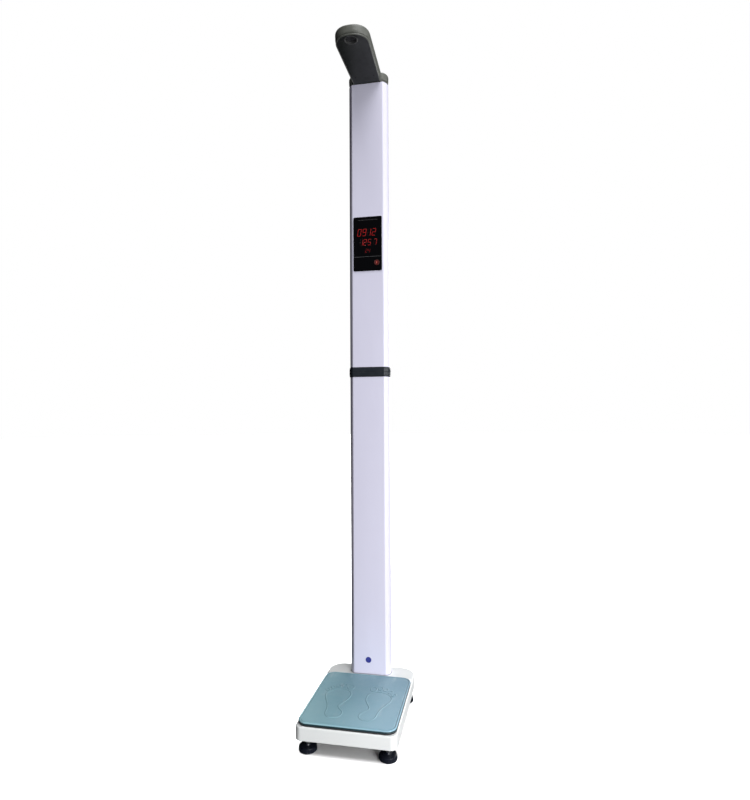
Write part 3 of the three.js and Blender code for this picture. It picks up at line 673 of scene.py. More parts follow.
LIT_DIM = lit_segment("dim_segment", rgb(1.0, 0.02, 0.04), 0.16)
UNLIT = moulding("unlit_segment", rgb(0.012, 0.004, 0.004), 0.3, grain=900, vary=0.2)
PRINT_GREY = moulding("grey_print", rgb(0.085, 0.085, 0.09), 0.5, grain=1200, vary=0.15)
KEY_RED = key_red_plastic("key_red")
KEY_MARK = lit_segment("key_mark", rgb(1.0, 0.20, 0.15), 0.45)
BADGE = moulding("badge_print", rgb(0.035, 0.04, 0.26), 0.3, grain=800, vary=0.12, Coat_Weight=0.5)
SWITCH = moulding(
    "switch_gloss", rgb(0.012, 0.012, 0.014), 0.24, grain=900, depth=0.00002, vary=0.2, edge_wear_and_highlight=3.0)
SWITCH_MARK = moulding("switch_mark", rgb(0.7, 0.7, 0.7), 0.45, grain=900, vary=0.06)
CONTACT = brushed("contact_brass", rgb(0.72, 0.55, 0.25), 0.25, (1, 0.05, 1), 800)
CAN = brushed("anodised_can", rgb(0.16, 0.16, 0.165), 0.42, (1, 1, 0.05), 700)
GRILLE = sensor_mesh("sensor_grille")
RING = rubber("sensor_ring_rubber", rgb(0.035, 0.036, 0.036), 0.45, 900, 0.00003)


# ---------------------------------------------------------------- base

WELL_R = 16
WELL_DEPTH = 12
SEAL_W = 4.0


def casing_half():
    """The right side of the casing's outline from front to back, with the shelf step's points."""
    x, y = BASE_W / 2, BASE_D / 2
    front = arc(x - FRONT_R, FRONT_R - y, FRONT_R, FRONT_R, -QUARTER, 0, 12)
    back = arc(x - REAR_R, y - REAR_R, REAR_R, REAR_R, 0, QUARTER, 28)
    step = np.array([[x, step_y] for step_y, _ in shelf_step()])
    return np.vstack([front, step, back])


def shelf_step():
    """The step from the deck up to the shelf, as (y, z) points."""
    return fillet([
        (STEP_Y - 6, DECK_Z), (STEP_Y - 0.2, DECK_Z, 1.2), (STEP_Y + 0.6, SHELF_Z, 2.4),
        (STEP_Y + 9, SHELF_Z),
    ], 8)


def across(half_count, start, flip):
    """Strips that run from one side of a ring to the other, which close it."""
    faces = []
    count = 2 * half_count
    for i in range(half_count - 1):
        strip = (start + i, start + i + 1, start + count - 2 - i, start + count - 1 - i)
        faces.append(strip[::-1] if flip else strip)
    return faces


def build_casing():
    half = casing_half()
    step_y, step_z = np.array(shelf_step()).T
    top = np.interp(half[:, 1], step_y, step_z)
    top = np.concatenate([top, top[::-1]])
    rim = CASING_LOW[2]
    levels = [(CASING_WALL + 0.4, top - CASING_WALL), (CASING_WALL, rim + 0.4), (CASING_WALL - 0.5, rim)]
    levels += [(0.9, rim), (0.35, rim + 0.3), (0.0, rim + 1.2)]
    rings = stepped(mirrored(half), levels + round_over(CASING_EDGE_R, top, 8))
    points, faces = skin(rings, caps=False)
    count = len(half)
    faces += across(count, 0, True)
    faces += across(count, (len(rings) - 1) * 2 * count, False)
    below = DECK_Z - WELL_DEPTH
    steps = [("cut", skin(column_rings([(0.6, below), (0.6, SHELF_Z + 4)])))]
    for i in FOUR:
        x, y, _ = middle(f"pan_buffer_{i}")
        steps.append(("cut", moved(drum(WELL_R, below, DECK_Z + 3), x, y)))
    casing = combined((points, faces), *steps)
    place("casing_shell", casing, CASING, "root", ["base_casing"], bevel=0.35)


def build_column_seal():
    """A thin black gasket where the column passes into the shelf."""
    levels = [(0.12, -2.0), (0.9, -0.1), (0.9, 0.3), (0.6, 0.5), (0.3, 0.5), (0.1, 0.3)]
    gasket = moved(skin(column_rings(levels), loop=True), z=SHELF_Z)
    place("column_gasket", gasket, BLACK_RUBBER, "root")


def build_seal_and_gap_shade():
    """A black strip on the deck under the pan's edge, which closes the gap without touching. Its black
    also fills the gap with painted shade, where the deck would otherwise show pale.
    """
    width, depth = (PAN_HIGH - PAN_LOW)[:2] - 1.2
    outline = rounded_rect(width, depth, PAN_R) + [0, PAN_Y]
    top = PAN_LOW[2] - 0.6
    levels = [(0.0, DECK_Z), (0.0, top - 0.6), (0.6, top)]
    levels += [(SEAL_W - 0.6, top), (SEAL_W, top - 0.6), (SEAL_W, DECK_Z)]
    strip = skin(stepped(outline, levels), loop=True)
    place("seal_and_shade_strip", strip, BLACK_RUBBER, "root", ["dust_seal"])


def build_buffers():
    profile = fillet([
        (0, 0), (9.6, 0, 0.8), (10, 1.2, 0.5), (9.4, 3.2, 1.1), (3, 3.2, 0.4), (2.4, 2.6, 0.4), (0, 2.6),
    ])
    for i in FOUR:
        node = f"pan_buffer_{i}"
        x, y, _ = middle(node)
        shape = moved(turned(profile, 48), x, y, node_box(node)[0][2])
        place(f"buffer_{i}", shape, BLACK_RUBBER, "root", [node])


# ---------------------------------------------------------------- feet

FLUTES = 20
PITCH = 1.5
THREAD_DEPTH = 0.55
THREAD_END = 1.4
STUD_R = 5.0
NUT_BORE_R = 5.35


def flutes(angle, height):
    """Grip flutes round the pad's side, fading out towards its top and bottom."""
    fade = np.clip(min((height - 1.5) / 1.5, (15.0 - height) / 2), 0, 1)
    wave = 0.5 + 0.5 * np.cos(FLUTES * angle)
    return 1 - 0.035 * fade * wave ** 3


def pad_shape(radius):
    """A levelling pad with a hollow sole, a domed top and a socket for its stud."""
    profile = fillet([
        (0, 1.6), (radius - 9, 1.6, 0.6), (radius - 8, 0, 0.5), (radius - 2.4, 0, 0.6), (radius, 2.2, 1.4),
        (radius, 5), (radius, 8), (radius, 11), (radius, 14.6, 1.8), (radius - 4, 16.4, 3),
        (radius - 12, 17.2, 3), (9.4, 17.6, 1.2), (8.2, 21.6, 1.0), (7.0, 21.8, 0.4),
        (6.0, 21.2, 0.3), (5.7, 6), (0, 6),
    ])
    return turned(profile, 240, flutes)


def thread_shape(radius, z0, z1, segments=40, rows_per_pitch=8):
    """A shank with a real helical thread, fading out at both ends."""
    angle = np.linspace(0, 2 * math.pi, segments, endpoint=False)
    heights = np.arange(z0, z1, PITCH / rows_per_pitch)
    rings = [ring(circle(radius - THREAD_END, segments), z0)]
    for z in heights[1:]:
        phase = ((z - z0) / PITCH - angle / (2 * math.pi)) % 1
        groove = THREAD_DEPTH * np.clip(1.25 * np.abs(2 * phase - 1) - 0.12, 0, 1)
        fade = min(1, (z - z0) / 1.2, (z1 - z) / 1.2)
        reach = radius - groove - (1 - fade) * 0.7
        rings.append(np.column_stack([reach * np.cos(angle), reach * np.sin(angle), np.full(segments, z)]))
    rings.append(ring(circle(radius - THREAD_END, segments), z1))
    return skin(rings)


def hex_shape(corner, z0, z1, hole=0.0):
    """A hexagon whose corners are turned off at both ends, with a bore if it is a nut."""
    height = z1 - z0
    chamfer = [(0.0, -1.25), (0.35, -0.55), (0.9, 0.0)]
    levels = chamfer + [(height - d, g) for d, g in reversed(chamfer)]
    rings = []
    for depth, grow in levels:
        radius = np.minimum(np.linalg.norm(hexagon(corner), axis=1), corner + grow + 0.02)
        rings.append(ring(circle(1.0) * radius[:, None], z0 + depth))
    if not hole:
        return skin(rings)
    bore = [(height, 0.7), (height - 0.7, 0.0), (0.7, 0.0), (0.0, 0.7)]
    rings += [ring(circle(hole + g), z0 + d) for d, g in bore]
    return skin(rings, loop=True)


def build_feet():
    for foot in FEET:
        pad_node, stud_node, nut_node = f"foot_pad_{foot}", f"foot_stud_{foot}", f"lock_nut_{foot}"
        low, high = node_box(pad_node)
        x, y, _ = middle(pad_node)
        pad = moved(pad_shape((high[0] - low[0]) / 2), x, y)
        place(f"pad_{foot}", pad, BLACK_PLASTIC, pad_node, [pad_node], 50)
        low, high = node_box(stud_node)
        shank = moved(thread_shape(STUD_R, low[2], high[2]), x, y)
        stud = combined(shank, ("join", moved(hex_shape(8.6, 22.5, 28.5), x, y)))
        place(f"stud_{foot}", stud, STEEL, stud_node, [stud_node], 40)
        low, high = node_box(nut_node)
        nut = moved(hex_shape(9.8, low[2], high[2], NUT_BORE_R), x, y)
        place(f"nut_{foot}", nut, STEEL, "root", [nut_node], 30)


# ---------------------------------------------------------------- pan and mat

def pan_outline(distance):
    """The pan's outline, moved inwards."""
    width, depth = (PAN_HIGH - PAN_LOW)[:2] - 2 * distance
    return rounded_rect(width, depth, PAN_R - distance, 14) + [0, PAN_Y]


def build_pan():
    bottom, top = PAN_LOW[2], PAN_HIGH[2]
    levels = [(2.0, top - 2.0), (2.0, bottom + 0.3), (1.7, bottom)]
    levels += [(0.6, bottom), (0.15, bottom + 0.2), (0.0, bottom + 0.6)]
    rings = [ring(pan_outline(distance), z) for distance, z in levels + round_over(1.6, top, 7)]
    place("pan_tray", skin(rings), PAN_PAINT, PAN, ["pan"])


# The right footprint, which the left one mirrors: points round its sole, and for each toe its
# place, its two radii and its lean in degrees.
SOLE = [
    (54, -173), (70, -168), (79, -150), (81, -125), (87, -98), (99, -70), (108, -45), (108, -22),
    (97, -5), (80, 6), (62, 9), (44, 4), (31, -10), (27, -30), (31, -56), (43, -82), (50, -102),
    (42, -118), (30, -134), (28, -153), (38, -168),
]
TOES = [
    (39, 26, 10.5, 14.5, -4), (62, 34, 7.5, 11, 4), (81, 28, 7, 10, 12), (98, 15, 6.5, 9.5, 22),
    (112, -3, 6.2, 9, 32),
]
RIDGE_HEIGHT = 1.25
RIDGE_HALF = 1.2
PRINT_RISE = 0.22
ROLL_R = 1.9
# The welt and groove round the mat: height, distance from its edge, half width.
WELT = (0.5, 3.2, 1.7)
GROOVE = (-1.5, 6.0, 0.95)
GRID_FINE = 1.18
GRID_EDGE = np.array([
    0, 0.2, 0.5, 0.9, 1.4, 2.0, 2.7, 3.5, 4.2, 4.8, 5.2, 5.6, 6.0, 6.4, 6.8, 7.4, 8.2])


def smooth_loop(corners, per_side=14):
    """A closed Catmull-Rom curve through the corners."""
    p = np.array(corners, float)
    before, after, later = np.roll(p, 1, 0), np.roll(p, -1, 0), np.roll(p, -2, 0)
    t = np.linspace(0, 1, per_side, endpoint=False)[None, :, None]
    a, b, c, d = (q[:, None, :] for q in (before, p, after, later))
    square = (2 * a - 5 * b + 4 * c - d) * t ** 2
    cube = (3 * b - a - 3 * c + d) * t ** 3
    return (0.5 * (2 * b + (c - a) * t + square + cube)).reshape(-1, 2)


def toe_loop(x, y, rx, ry, lean):
    loop = arc(0, 0, rx, ry, 0, 2 * math.pi, 48)[:-1]
    c, s = math.cos(math.radians(-lean)), math.sin(math.radians(-lean))
    return loop @ np.array([[c, s], [-s, c]]) + [x, y]


def inside(points, loop):
    """Which points lie inside a closed loop."""
    result = np.zeros(len(points), bool)
    x, y = points.T
    for (x0, y0), (x1, y1) in zip(loop, np.roll(loop, -1, 0)):
        if y0 == y1:
            continue
        crosses = (y0 > y) != (y1 > y)
        result ^= crosses & (x < (x1 - x0) * (y - y0) / (y1 - y0) + x0)
    return result


def distance_to(points, loop):
    """The distance from each point to the nearest stretch of a closed loop."""
    best = np.full(len(points), 1e9)
    for a, b in zip(loop, np.roll(loop, -1, 0)):
        side = b - a
        t = np.clip((points - a) @ side / max(side @ side, 1e-9), 0, 1)
        best = np.minimum(best, np.linalg.norm(points - a - t[:, None] * side, axis=1))
    return best


def footprint_relief(points):
    """How far the footprints stand up from the mat at each point."""
    relief = np.zeros(len(points))
    mirrored_points = np.column_stack([np.abs(points[:, 0]), points[:, 1]])
    for loop in [smooth_loop(SOLE), *(toe_loop(*toe) for toe in TOES)]:
        low, high = loop.min(0) - 6, loop.max(0) + 6
        near = np.all((mirrored_points > low) & (mirrored_points < high), axis=1)
        close = mirrored_points[near]
        distance = distance_to(close, loop)
        within = inside(close, loop)
        ridge = RIDGE_HEIGHT * np.exp(-((distance / RIDGE_HALF) ** 2) * 1.6)
        plateau = PRINT_RISE * np.where(within, 1 - np.exp(-distance / 2.0), 0)
        relief[near] = np.maximum(relief[near], ridge + plateau)
    return relief


def swell(gap, height, at, half_width):
    """A rounded rise that runs round the mat at one distance from its edge."""
    return height * np.exp(-((gap - at) / half_width) ** 2)


def grid_places(half):
    """Places across the mat: close together at the rolled edge, even between."""
    inner = half - GRID_EDGE[-1]
    count = int(round(2 * inner / GRID_FINE))
    between = np.linspace(-inner, inner, count + 1)[1:-1]
    return np.concatenate([-half + GRID_EDGE, between, (half - GRID_EDGE)[::-1]])


def mat_grid():
    """Each grid point's x, y and distance from the mat's edge, and the columns and rows."""
    half = (MAT_HIGH - MAT_LOW)[:2] / 2
    xs, ys = grid_places(half[0]), grid_places(half[1])
    x, y = (a.ravel() for a in np.meshgrid(xs, ys))
    corner = half - PAN_R
    a, b = (np.abs(x) - corner[0]) / PAN_R, (np.abs(y) - corner[1]) / PAN_R
    in_corner = (a > 0) & (b > 0)
    round_x = corner[0] + PAN_R * a * np.sqrt(np.maximum(1 - b ** 2 / 2, 0))
    round_y = corner[1] + PAN_R * b * np.sqrt(np.maximum(1 - a ** 2 / 2, 0))
    corner_gap = PAN_R * (1 - np.hypot(round_x - corner[0], round_y - corner[1]) / PAN_R)
    gap = np.where(in_corner, corner_gap, np.minimum(half[0] - np.abs(x), half[1] - np.abs(y)))
    x = np.where(in_corner, np.sign(x) * round_x, x) + middle("mat")[0]
    y = np.where(in_corner, np.sign(y) * round_y, y) + middle("mat")[1]
    return x, y, gap, len(xs), len(ys)


def grid_border(columns, rows):
    """The outermost points of a grid, in order round its edge."""
    front = list(range(columns))
    right = [r * columns + columns - 1 for r in range(1, rows)]
    back = [(rows - 1) * columns + c for c in range(columns - 2, -1, -1)]
    left = [r * columns for r in range(rows - 2, 0, -1)]
    return front + right + back + left


def build_mat():
    x, y, gap, columns, rows = mat_grid()
    fall = ROLL_R - np.sqrt(np.maximum(ROLL_R ** 2 - np.clip(ROLL_R - gap, 0, ROLL_R) ** 2, 0))
    edge = swell(gap, *WELT) + swell(gap, *GROOVE)
    z = MAT_HIGH[2] - fall + edge + footprint_relief(np.column_stack([x, y]))
    points = np.column_stack([x, y, z])
    faces = [
        (r * columns + c, r * columns + c + 1, (r + 1) * columns + c + 1, (r + 1) * columns + c)
        for r in range(rows - 1) for c in range(columns - 1)
    ]
    border = grid_border(columns, rows)
    start, length = len(points), len(border)
    skirt = points[border] * [1, 1, 0] + [0, 0, MAT_LOW[2]]
    for i in range(length):
        j = (i + 1) % length
        faces.append((start + i, start + j, border[j], border[i]))
    faces.append(tuple(start + i for i in reversed(range(length))))
    place("footprint_mat", (np.vstack([points, skirt]), faces), MAT, PAN, ["mat"], 60)


# ---------------------------------------------------------------- column

def tube_shape(z0, z1):
    """A length of the column, with its sawn ends eased."""
    outer = [(-0.35, z0), (0.0, z0 + 0.35), (0.0, z1 - 0.35), (-0.35, z1)]
    inner = [(-COLUMN_WALL, z1), (-COLUMN_WALL, z0)]
    return skin(column_rings(outer + inner), loop=True)


def build_lower_column():
    back = COLUMN_BACK
    cuts = []
    for i in FOUR:
        x, _, z = middle(f"column_bolt_{i}")
        cuts.append(("cut", moved(facing(drum(4.6, -6, 2), "+Y"), x, back, z)))
    x, _, z = middle("power_inlet")
    cuts.append(("cut", moved(facing(drum(6.1, -6, 2), "+Y"), x, back, z)))
    x, _, z = middle("switch_housing")
    cuts.append(("cut", box_shape((x - 9.4, back - 6, z - 13.4), (x + 9.4, back + 2, z + 13.4))))
    tube = combined(tube_shape(LOWER_LOW[2], LOWER_HIGH[2]), *cuts)
    place("lower_tube", tube, WHITE_COAT, "root", ["lower_column"])


def build_upper_column():
    low, high = node_box("display_tray")
    opening = box_shape(
        (low[0] - 0.4, COLUMN_FACE - 3, low[2] - 0.4), (high[0] + 0.4, COLUMN_FACE + 8, high[2] + 0.4))
    tube = combined(tube_shape(UPPER_LOW[2], UPPER_HIGH[2]), ("cut", opening))
    place("upper_tube", tube, WHITE_COAT, UPPER, ["upper_column"])


def collar_shape(knuckles):
    """Half of the fold collar, drawn as the lower half with its top face at z = 0."""
    section = fillet([
        (-2.4, -COLLAR_H - 20), (-2.4, -COLLAR_H), (0.9, -COLLAR_H, 0.5), (2.3, -COLLAR_H + 2.4, 2.0),
        (3.05, -COLLAR_H + 7, 6), (COLLAR_SWELL, -2.2, 3), (COLLAR_SWELL, -0.9, 0.5),
        (COLLAR_SWELL - 0.7, 0),
    ], 5)
    plug = skin(column_rings(section))
    steps = [("cut", box_shape((-30, COLUMN_Y - 8, -COLLAR_H - 22), (30, COLUMN_Y + 18, 2)))]
    x, y, _ = middle("catch_magnet")
    steps.append(("cut", moved(drum(8.0, -5, 2), x, y)))
    for left, right in knuckles:
        web = box_shape((left, COLUMN_BACK + 1, -11.5), (right, PIN_Y - KNUCKLE_GAP, -0.05))
        steps.append(("join", web))
        barrel = fillet([(0, left), (KNUCKLE_R, left, 0.8), (KNUCKLE_R, right, 0.8), (0, right)], 4)
        steps.append(("join", moved(facing(turned(barrel, 48), "+X"), 0, PIN_Y, COLLAR_GAP)))
    steps.append(("cut", moved(facing(drum(3.15, -60, 60), "+X"), 0, PIN_Y, COLLAR_GAP)))
    return combined(plug, *steps)


def build_collars():
    lower = collar_shape([(-41, -19), (19, 41)])
    shift(lower, 0, 0, FOLD_Z - COLLAR_GAP)
    place("collar_lower", lower, COLLAR_PAINT, "root", ["lower_collar"], bevel=0.25)
    upper = collar_shape([(-18.6, 18.6)])
    upper.data.transform(Matrix.Scale(-1, 4, Vector((0, 0, 1))))
    upper.data.flip_normals()
    shift(upper, 0, 0, FOLD_Z + COLLAR_GAP)
    place("collar_upper", upper, COLLAR_PAINT, UPPER, ["upper_collar"], bevel=0.25)


def build_pin():
    half = (PIN_HIGH[0] - PIN_LOW[0]) / 2
    profile = fillet([
        (0, -half), (3.4, -half, 1.0), (4.3, -half + 1.7, 0.3), (3.0, -half + 1.75),
        (3.0, half - 1.75), (4.3, half - 1.7, 0.3), (3.4, half, 1.0), (0, half),
    ])
    pin = moved(facing(turned(profile, 48), "+X"), 0, PIN_Y, FOLD_Z)
    place("pin", pin, PIN_STEEL, "root", ["hinge_pin"])


def catch_disc(node):
    """A disc with a dimple, at its node's size and place."""
    low, high = node_box(node)
    radius, height = (high[0] - low[0]) / 2, high[2] - low[2]
    disc = turned(fillet([
        (0, 0), (radius, 0, 0.4), (radius, height, 0.4), (2.2, height, 0.3), (1.6, height - 0.6),
        (0, height - 0.6),
    ]), 64)
    if node == "catch_plate":
        disc = moved(facing(disc, "-Z"), 0, 0, height)
    x, y, _ = middle(node)
    return moved(disc, x, y, low[2])


def build_catch():
    magnet, plate = catch_disc("catch_magnet"), catch_disc("catch_plate")
    place("magnet_disc", magnet, NICKEL, "root", ["catch_magnet"])
    place("plate_disc", plate, STEEL, UPPER, ["catch_plate"])


def bolt_shape():
    """A socket cap screw with a knurled head, drawn up along +Z from its seat."""
    knurl = circle(1.0, 96)
    wave = 1 + 0.022 * np.cos(32 * np.linspace(0, 2 * math.pi, 96, endpoint=False))
    head = [
        (4.0, -12.3), (4.0, 0.3), (6.4, 0.3), (6.6, 0.6), (6.6, 3.9), (6.1, 4.5), (5.6, 4.6), (3.6, 4.6),
    ]
    rings = []
    for radius, z in head:
        bumps = wave[:, None] if 0.6 <= z <= 3.9 else 1.0
        rings.append(ring(knurl * radius * bumps, z))
    socket = hexagon(3.2, 96)
    rings += [ring(socket, 4.3), ring(socket, 2.2), ring(socket * 0.15, 1.9)]
    return skin(rings)


def build_bolts():
    for i in FOUR:
        node = f"column_bolt_{i}"
        x, _, z = middle(node)
        shape = moved(facing(bolt_shape(), "+Y"), x, COLUMN_BACK, z)
        place(f"bolt_{i}", shape, STEEL, "root", [node], 30)


def build_inlet():
    x, _, z = middle("power_inlet")
    profile = fillet([
        (0, -11), (3.4, -11, 0.3), (3.4, 1.9), (4.0, 2.6, 0.3), (7.5, 2.6, 0.6), (8.2, 1.8, 0.4),
        (8.2, 0.3, 0.2), (5.7, 0.3), (5.7, -14, 0.3), (0, -14),
    ])[::-1]
    body = moved(facing(turned(profile, 64), "+Y"), x, COLUMN_BACK, z)
    place("inlet_body", body, BLACK_PLASTIC, "root", ["power_inlet"], 30)
    pin = fillet([(0, -11.4), (1.0, -11.4), (1.0, -1.2, 0.7), (0, -0.8)])
    pin_shape = moved(facing(turned(pin, 32), "+Y"), x, COLUMN_BACK, z)
    place("inlet_contact", pin_shape, CONTACT, "root")


def switch_frame(x, z):
    """The switch's housing, with its flange on the column's back."""
    flange = rounded_rect(22, 30, 2.2, 6)
    body = rounded_rect(18, 26, 1.0, 6)
    rings = [ring(body, -16), ring(body, 0.3), ring(flange, 0.3), ring(flange, 1.5)]
    rings += stepped(flange, [(0.25, 2.0), (0.8, 2.3)])
    housing = combined(skin(rings), ("cut", box_shape((-6.1, -10.3, -8), (6.1, 10.3, 6))))
    housing.data.transform(Matrix.Rotation(-QUARTER, 4, "X"))
    return shift(housing, x, COLUMN_BACK, z)


def rocker_wedge():
    """The rocker, drawn flat: its side outline carried across its width."""
    side = fillet([
        (-9.3, -3.4), (-9.3, 3.2, 0.7), (-4.6, 2.05, 6), (0, 1.9, 1.5), (4.6, 2.05, 6),
        (9.3, 3.2, 0.7), (9.3, -3.4), (0, -4.4),
    ], 5)
    outline = np.array(side)[::-1] * [-1, 1]
    points, faces = skin([ring(outline, -5.7), ring(outline, 5.7)])
    return points[:, ::-1], faces


def build_switch():
    x, _, z = middle("switch_housing")
    housing = switch_frame(x, z)
    place("switch_frame", housing, BLACK_PLASTIC, "root", ["switch_housing"], bevel=0.3)
    rocker = to_object(rocker_wedge())
    tilt = Matrix.Rotation(math.radians(8), 4, "X")
    seat = Matrix.Translation((x * MM, COLUMN_BACK * MM, z * MM))
    rocker.data.transform(seat @ tilt)
    place("rocker", rocker, SWITCH, "power_rocker", ["power_rocker"], bevel=0.35)
    bar = skin([ring(rounded_rect(1.0, 4.2, 0.4, 4), h) for h in (2.2, 2.82)])
    rings = [ring(circle(r, 40), h) for r, h in ((2.1, 2.2), (2.1, 2.78), (1.4, 2.78), (1.4, 2.2))]
    marks = (("switch_bar", bar, 5.6), ("switch_ring", skin(rings, loop=True), -5.6))
    for name, shape, height in marks:
        mark = to_object(moved(facing(shape, "+Y"), 0, 0, height))
        mark.data.transform(seat @ tilt)
        place(name, mark, SWITCH_MARK, "power_rocker")


def build_badge():
    low, high = node_box("column_badge")
    x, _, z = middle("column_badge")
    radius = (high[0] - low[0]) / 2
    profile = fillet([
        (0, 0), (radius, 0), (radius, 0.5, 0.3), (radius - 1.3, 0.8, 0.2), (radius - 1.7, 0.6, 0.2),
        (0, 0.75),
    ])
    shape = moved(facing(turned(profile, 72), "-Y"), x, high[1], z)
    place("badge_disc", shape, BADGE, "root", ["column_badge"], 40)


# ---------------------------------------------------------------- display

def build_window():
    width, height = WINDOW_HIGH[0] - WINDOW_LOW[0], WINDOW_HIGH[2] - WINDOW_LOW[2]
    thick = WINDOW_HIGH[1] - WINDOW_LOW[1]
    outline = rounded_rect(width, height, 5, 10)
    rings = stepped(outline, [(0.2, 0), (0, 0.2)] + round_over(0.7, thick, 5))
    hole = moved(drum(KEY_R + 0.4, -2, 5, 96), KEY_X, KEY_Z - WINDOW_Z)
    sheet = combined(skin(rings), ("cut", hole))
    sheet.data.transform(Matrix.Rotation(QUARTER, 4, "X"))
    shift(sheet, 0, WINDOW_HIGH[1], WINDOW_Z)
    place("window_sheet", sheet, ACRYLIC, UPPER, ["display_window"], bevel=0.2)


# The seven bars of a digit: the middle of each in half widths and half heights, and whether it
# stands upright.
BARS = {
    "a": (0, 1, False), "b": (1, 0.5, True), "c": (1, -0.5, True), "d": (0, -1, False),
    "e": (-1, -0.5, True), "f": (-1, 0.5, True), "g": (0, 0, False),
}
DIGITS = {
    "0": "abcdef", "1": "bc", "2": "abged", "4": "fgbc", "5": "afgcd", "7": "abc", "9": "abcdfg",
}
SLANT = math.tan(math.radians(9))
BAR_W = 0.056
BAR_GAP = 0.5


def bar_shape(length, width, upright):
    """A six-cornered bar, one segment of a digit."""
    a, b = length / 2, width / 2
    flat = np.array([(-a, 0), (-a + b, -b), (a - b, -b), (a, 0), (a - b, b), (-a + b, b)])
    outline = flat @ np.array([[0, 1], [-1, 0]]) if upright else flat
    rings = [ring(outline, 0), ring(outline, 0.16), ring(outline * 0.97, 0.22)]
    return skin(rings)


def digit_shapes(text, lit, x, z, width, height):
    """The lit or unlit bars of one digit, standing on the window."""
    bar = height * BAR_W
    half_w, half_h = (width - bar) / 2, (height - bar) / 2
    shapes = []
    for name, (u, v, upright) in BARS.items():
        if (name in DIGITS[text]) != lit:
            continue
        length = (half_h if upright else 2 * half_w) - BAR_GAP * bar
        points, faces = bar_shape(length, bar, upright)
        points = points + [u * half_w, v * half_h, 0]
        points[:, 0] += points[:, 1] * SLANT
        shapes.append(moved(facing((points, faces), "-Y"), x, WINDOW_LOW[1] + 0.02, z))
    return shapes


def row_of(text, places, z, width, height):
    """The digits of a row, each with the x of its middle, the row's z and the digit's size."""
    return [(digit, x, z, width, height) for digit, x in zip(text, places)]


ROWS = {
    "top": row_of("0912", (-30.5, -12, 5.5, 23.5), 1690, 13, 26),
    "middle": row_of("1257", (-23, -9.5, 6.5, 28), 1653.5, 11, 22),
    "bottom": row_of("24", (-5, 5), 1622, 7, 14),
}


def build_digits():
    for row, digits in ROWS.items():
        lit, unlit = [], []
        for text, x, z, width, height in digits:
            lit += digit_shapes(text, True, x, z, width, height)
            unlit += digit_shapes(text, False, x, z, width, height)
        paint = LIT if row != "bottom" else LIT_DIM
        place(f"digits_{row}", merged(*lit), paint, UPPER)
        place(f"digits_{row}_dark", merged(*unlit), UNLIT, UPPER)


def build_window_print():
    """The thin divider line and the row of fine dashes at the top."""
    face = WINDOW_LOW[1] + 0.02
    rule = skin([ring(rounded_rect(99, 0.9, 0.3, 4), h) for h in (0, 0.14)])
    dash = skin([ring(rounded_rect(3.6, 0.9, 0.3, 4), h) for h in (0, 0.14)])
    dashes = [moved(dash, -34 + 4.9 * i, 88) for i in range(15)]
    shapes = [moved(rule, 0, 1600.5 - WINDOW_Z)] + dashes
    print_shape = moved(facing(merged(*shapes), "-Y"), 0, face, WINDOW_Z)
    place("window_print", print_shape, PRINT_GREY, UPPER)


def build_key():
    front = KEY_HIGH[1] - KEY_LOW[1]
    profile = fillet([
        (0, 0), (3, 0), (3, front - 3.3), (KEY_R, front - 3.3), (KEY_R, front - 0.9, 0.5),
        (KEY_R - 0.8, front, 0.7), (KEY_R - 2.4, front - 0.1, 1.2), (KEY_R - 3.2, front - 0.55, 1.2),
        (0, front - 0.5),
    ])
    cap = moved(facing(turned(profile, 72), "-Y"), KEY_X, KEY_HIGH[1], KEY_Z)
    place("key_cap", cap, KEY_RED, "display_key", ["display_key"], 40)
    bar = rounded_rect(2.3, 8.4, 1.1, 8)
    mark = skin([ring(bar, 0), ring(bar, 0.3), ring(inset(bar, 0.25), 0.45)])
    mark = moved(facing(mark, "-Y"), KEY_X, KEY_LOW[1] + 0.55, KEY_Z)
    place("key_bar", mark, KEY_MARK, "display_key")


# ---------------------------------------------------------------- head

ARM_TIP_HALF = 58.5
ARM_ROOT_HALF = 53
ARM_TIP_Y = HEAD_LOW[1] + ARM_TIP_HALF
HEAD_EDGE_R = 6.5
RIM_R = 2.5
RIM_INSET = 4.2
SCREWS = (1, 2)


def head_outline():
    """The arm and the column cap as one outline, with the corner between them eased."""
    tip = arc(0, ARM_TIP_Y, ARM_TIP_HALF, ARM_TIP_HALF, -QUARTER, 0, 40, 2.3)
    shoulder_y = COLUMN_FACE - 1
    blend = 2.4
    side = np.linspace(0, 1, 12)[1:-1, None]
    start = np.array([ARM_TIP_HALF, ARM_TIP_Y])
    end = np.array([ARM_ROOT_HALF + 0.2, shoulder_y - blend])
    edge = start + (end - start) * side
    corner = arc(end[0] + blend, end[1], blend, blend, math.pi, QUARTER, 8)
    return mirrored(np.vstack([tip, edge, corner, column_side(1)]))


def build_head_shell():
    outline = head_outline()
    bottom, top = HEAD_LOW[2], HEAD_HIGH[2]
    levels = [(5, top - 3), (5, bottom), (4.6, bottom), (3.8, bottom)]
    for t in np.linspace(0.15, 1, 7) * QUARTER:
        levels.append((0.5 + 3.2 * (1 - math.sin(t)), bottom + 7 * (1 - math.cos(t))))
    levels.append((0.0, bottom + 18))
    for t in np.linspace(0, QUARTER, 10):
        distance = 0.1 + HEAD_EDGE_R * 0.82 * (1 - math.cos(t))
        levels.append((distance, top - HEAD_EDGE_R * (1 - math.sin(t))))
    shell = skin(stepped(outline, levels))
    place("head_top", shell, CHARCOAL, UPPER, ["head_shell"], 40)


def build_head_rim(outline, bottom):
    """The paler bead that frames the cover along the parting line."""
    levels = [
        (RIM_INSET - RIM_R * math.sin(t), bottom + RIM_R + 0.3 - RIM_R * math.cos(t))
        for t in np.linspace(0, 2 * math.pi, 24, endpoint=False)
    ]
    bead = skin(stepped(outline, levels), loop=True)
    place("cover_rim", bead, CHARCOAL, UPPER, sharp=60)


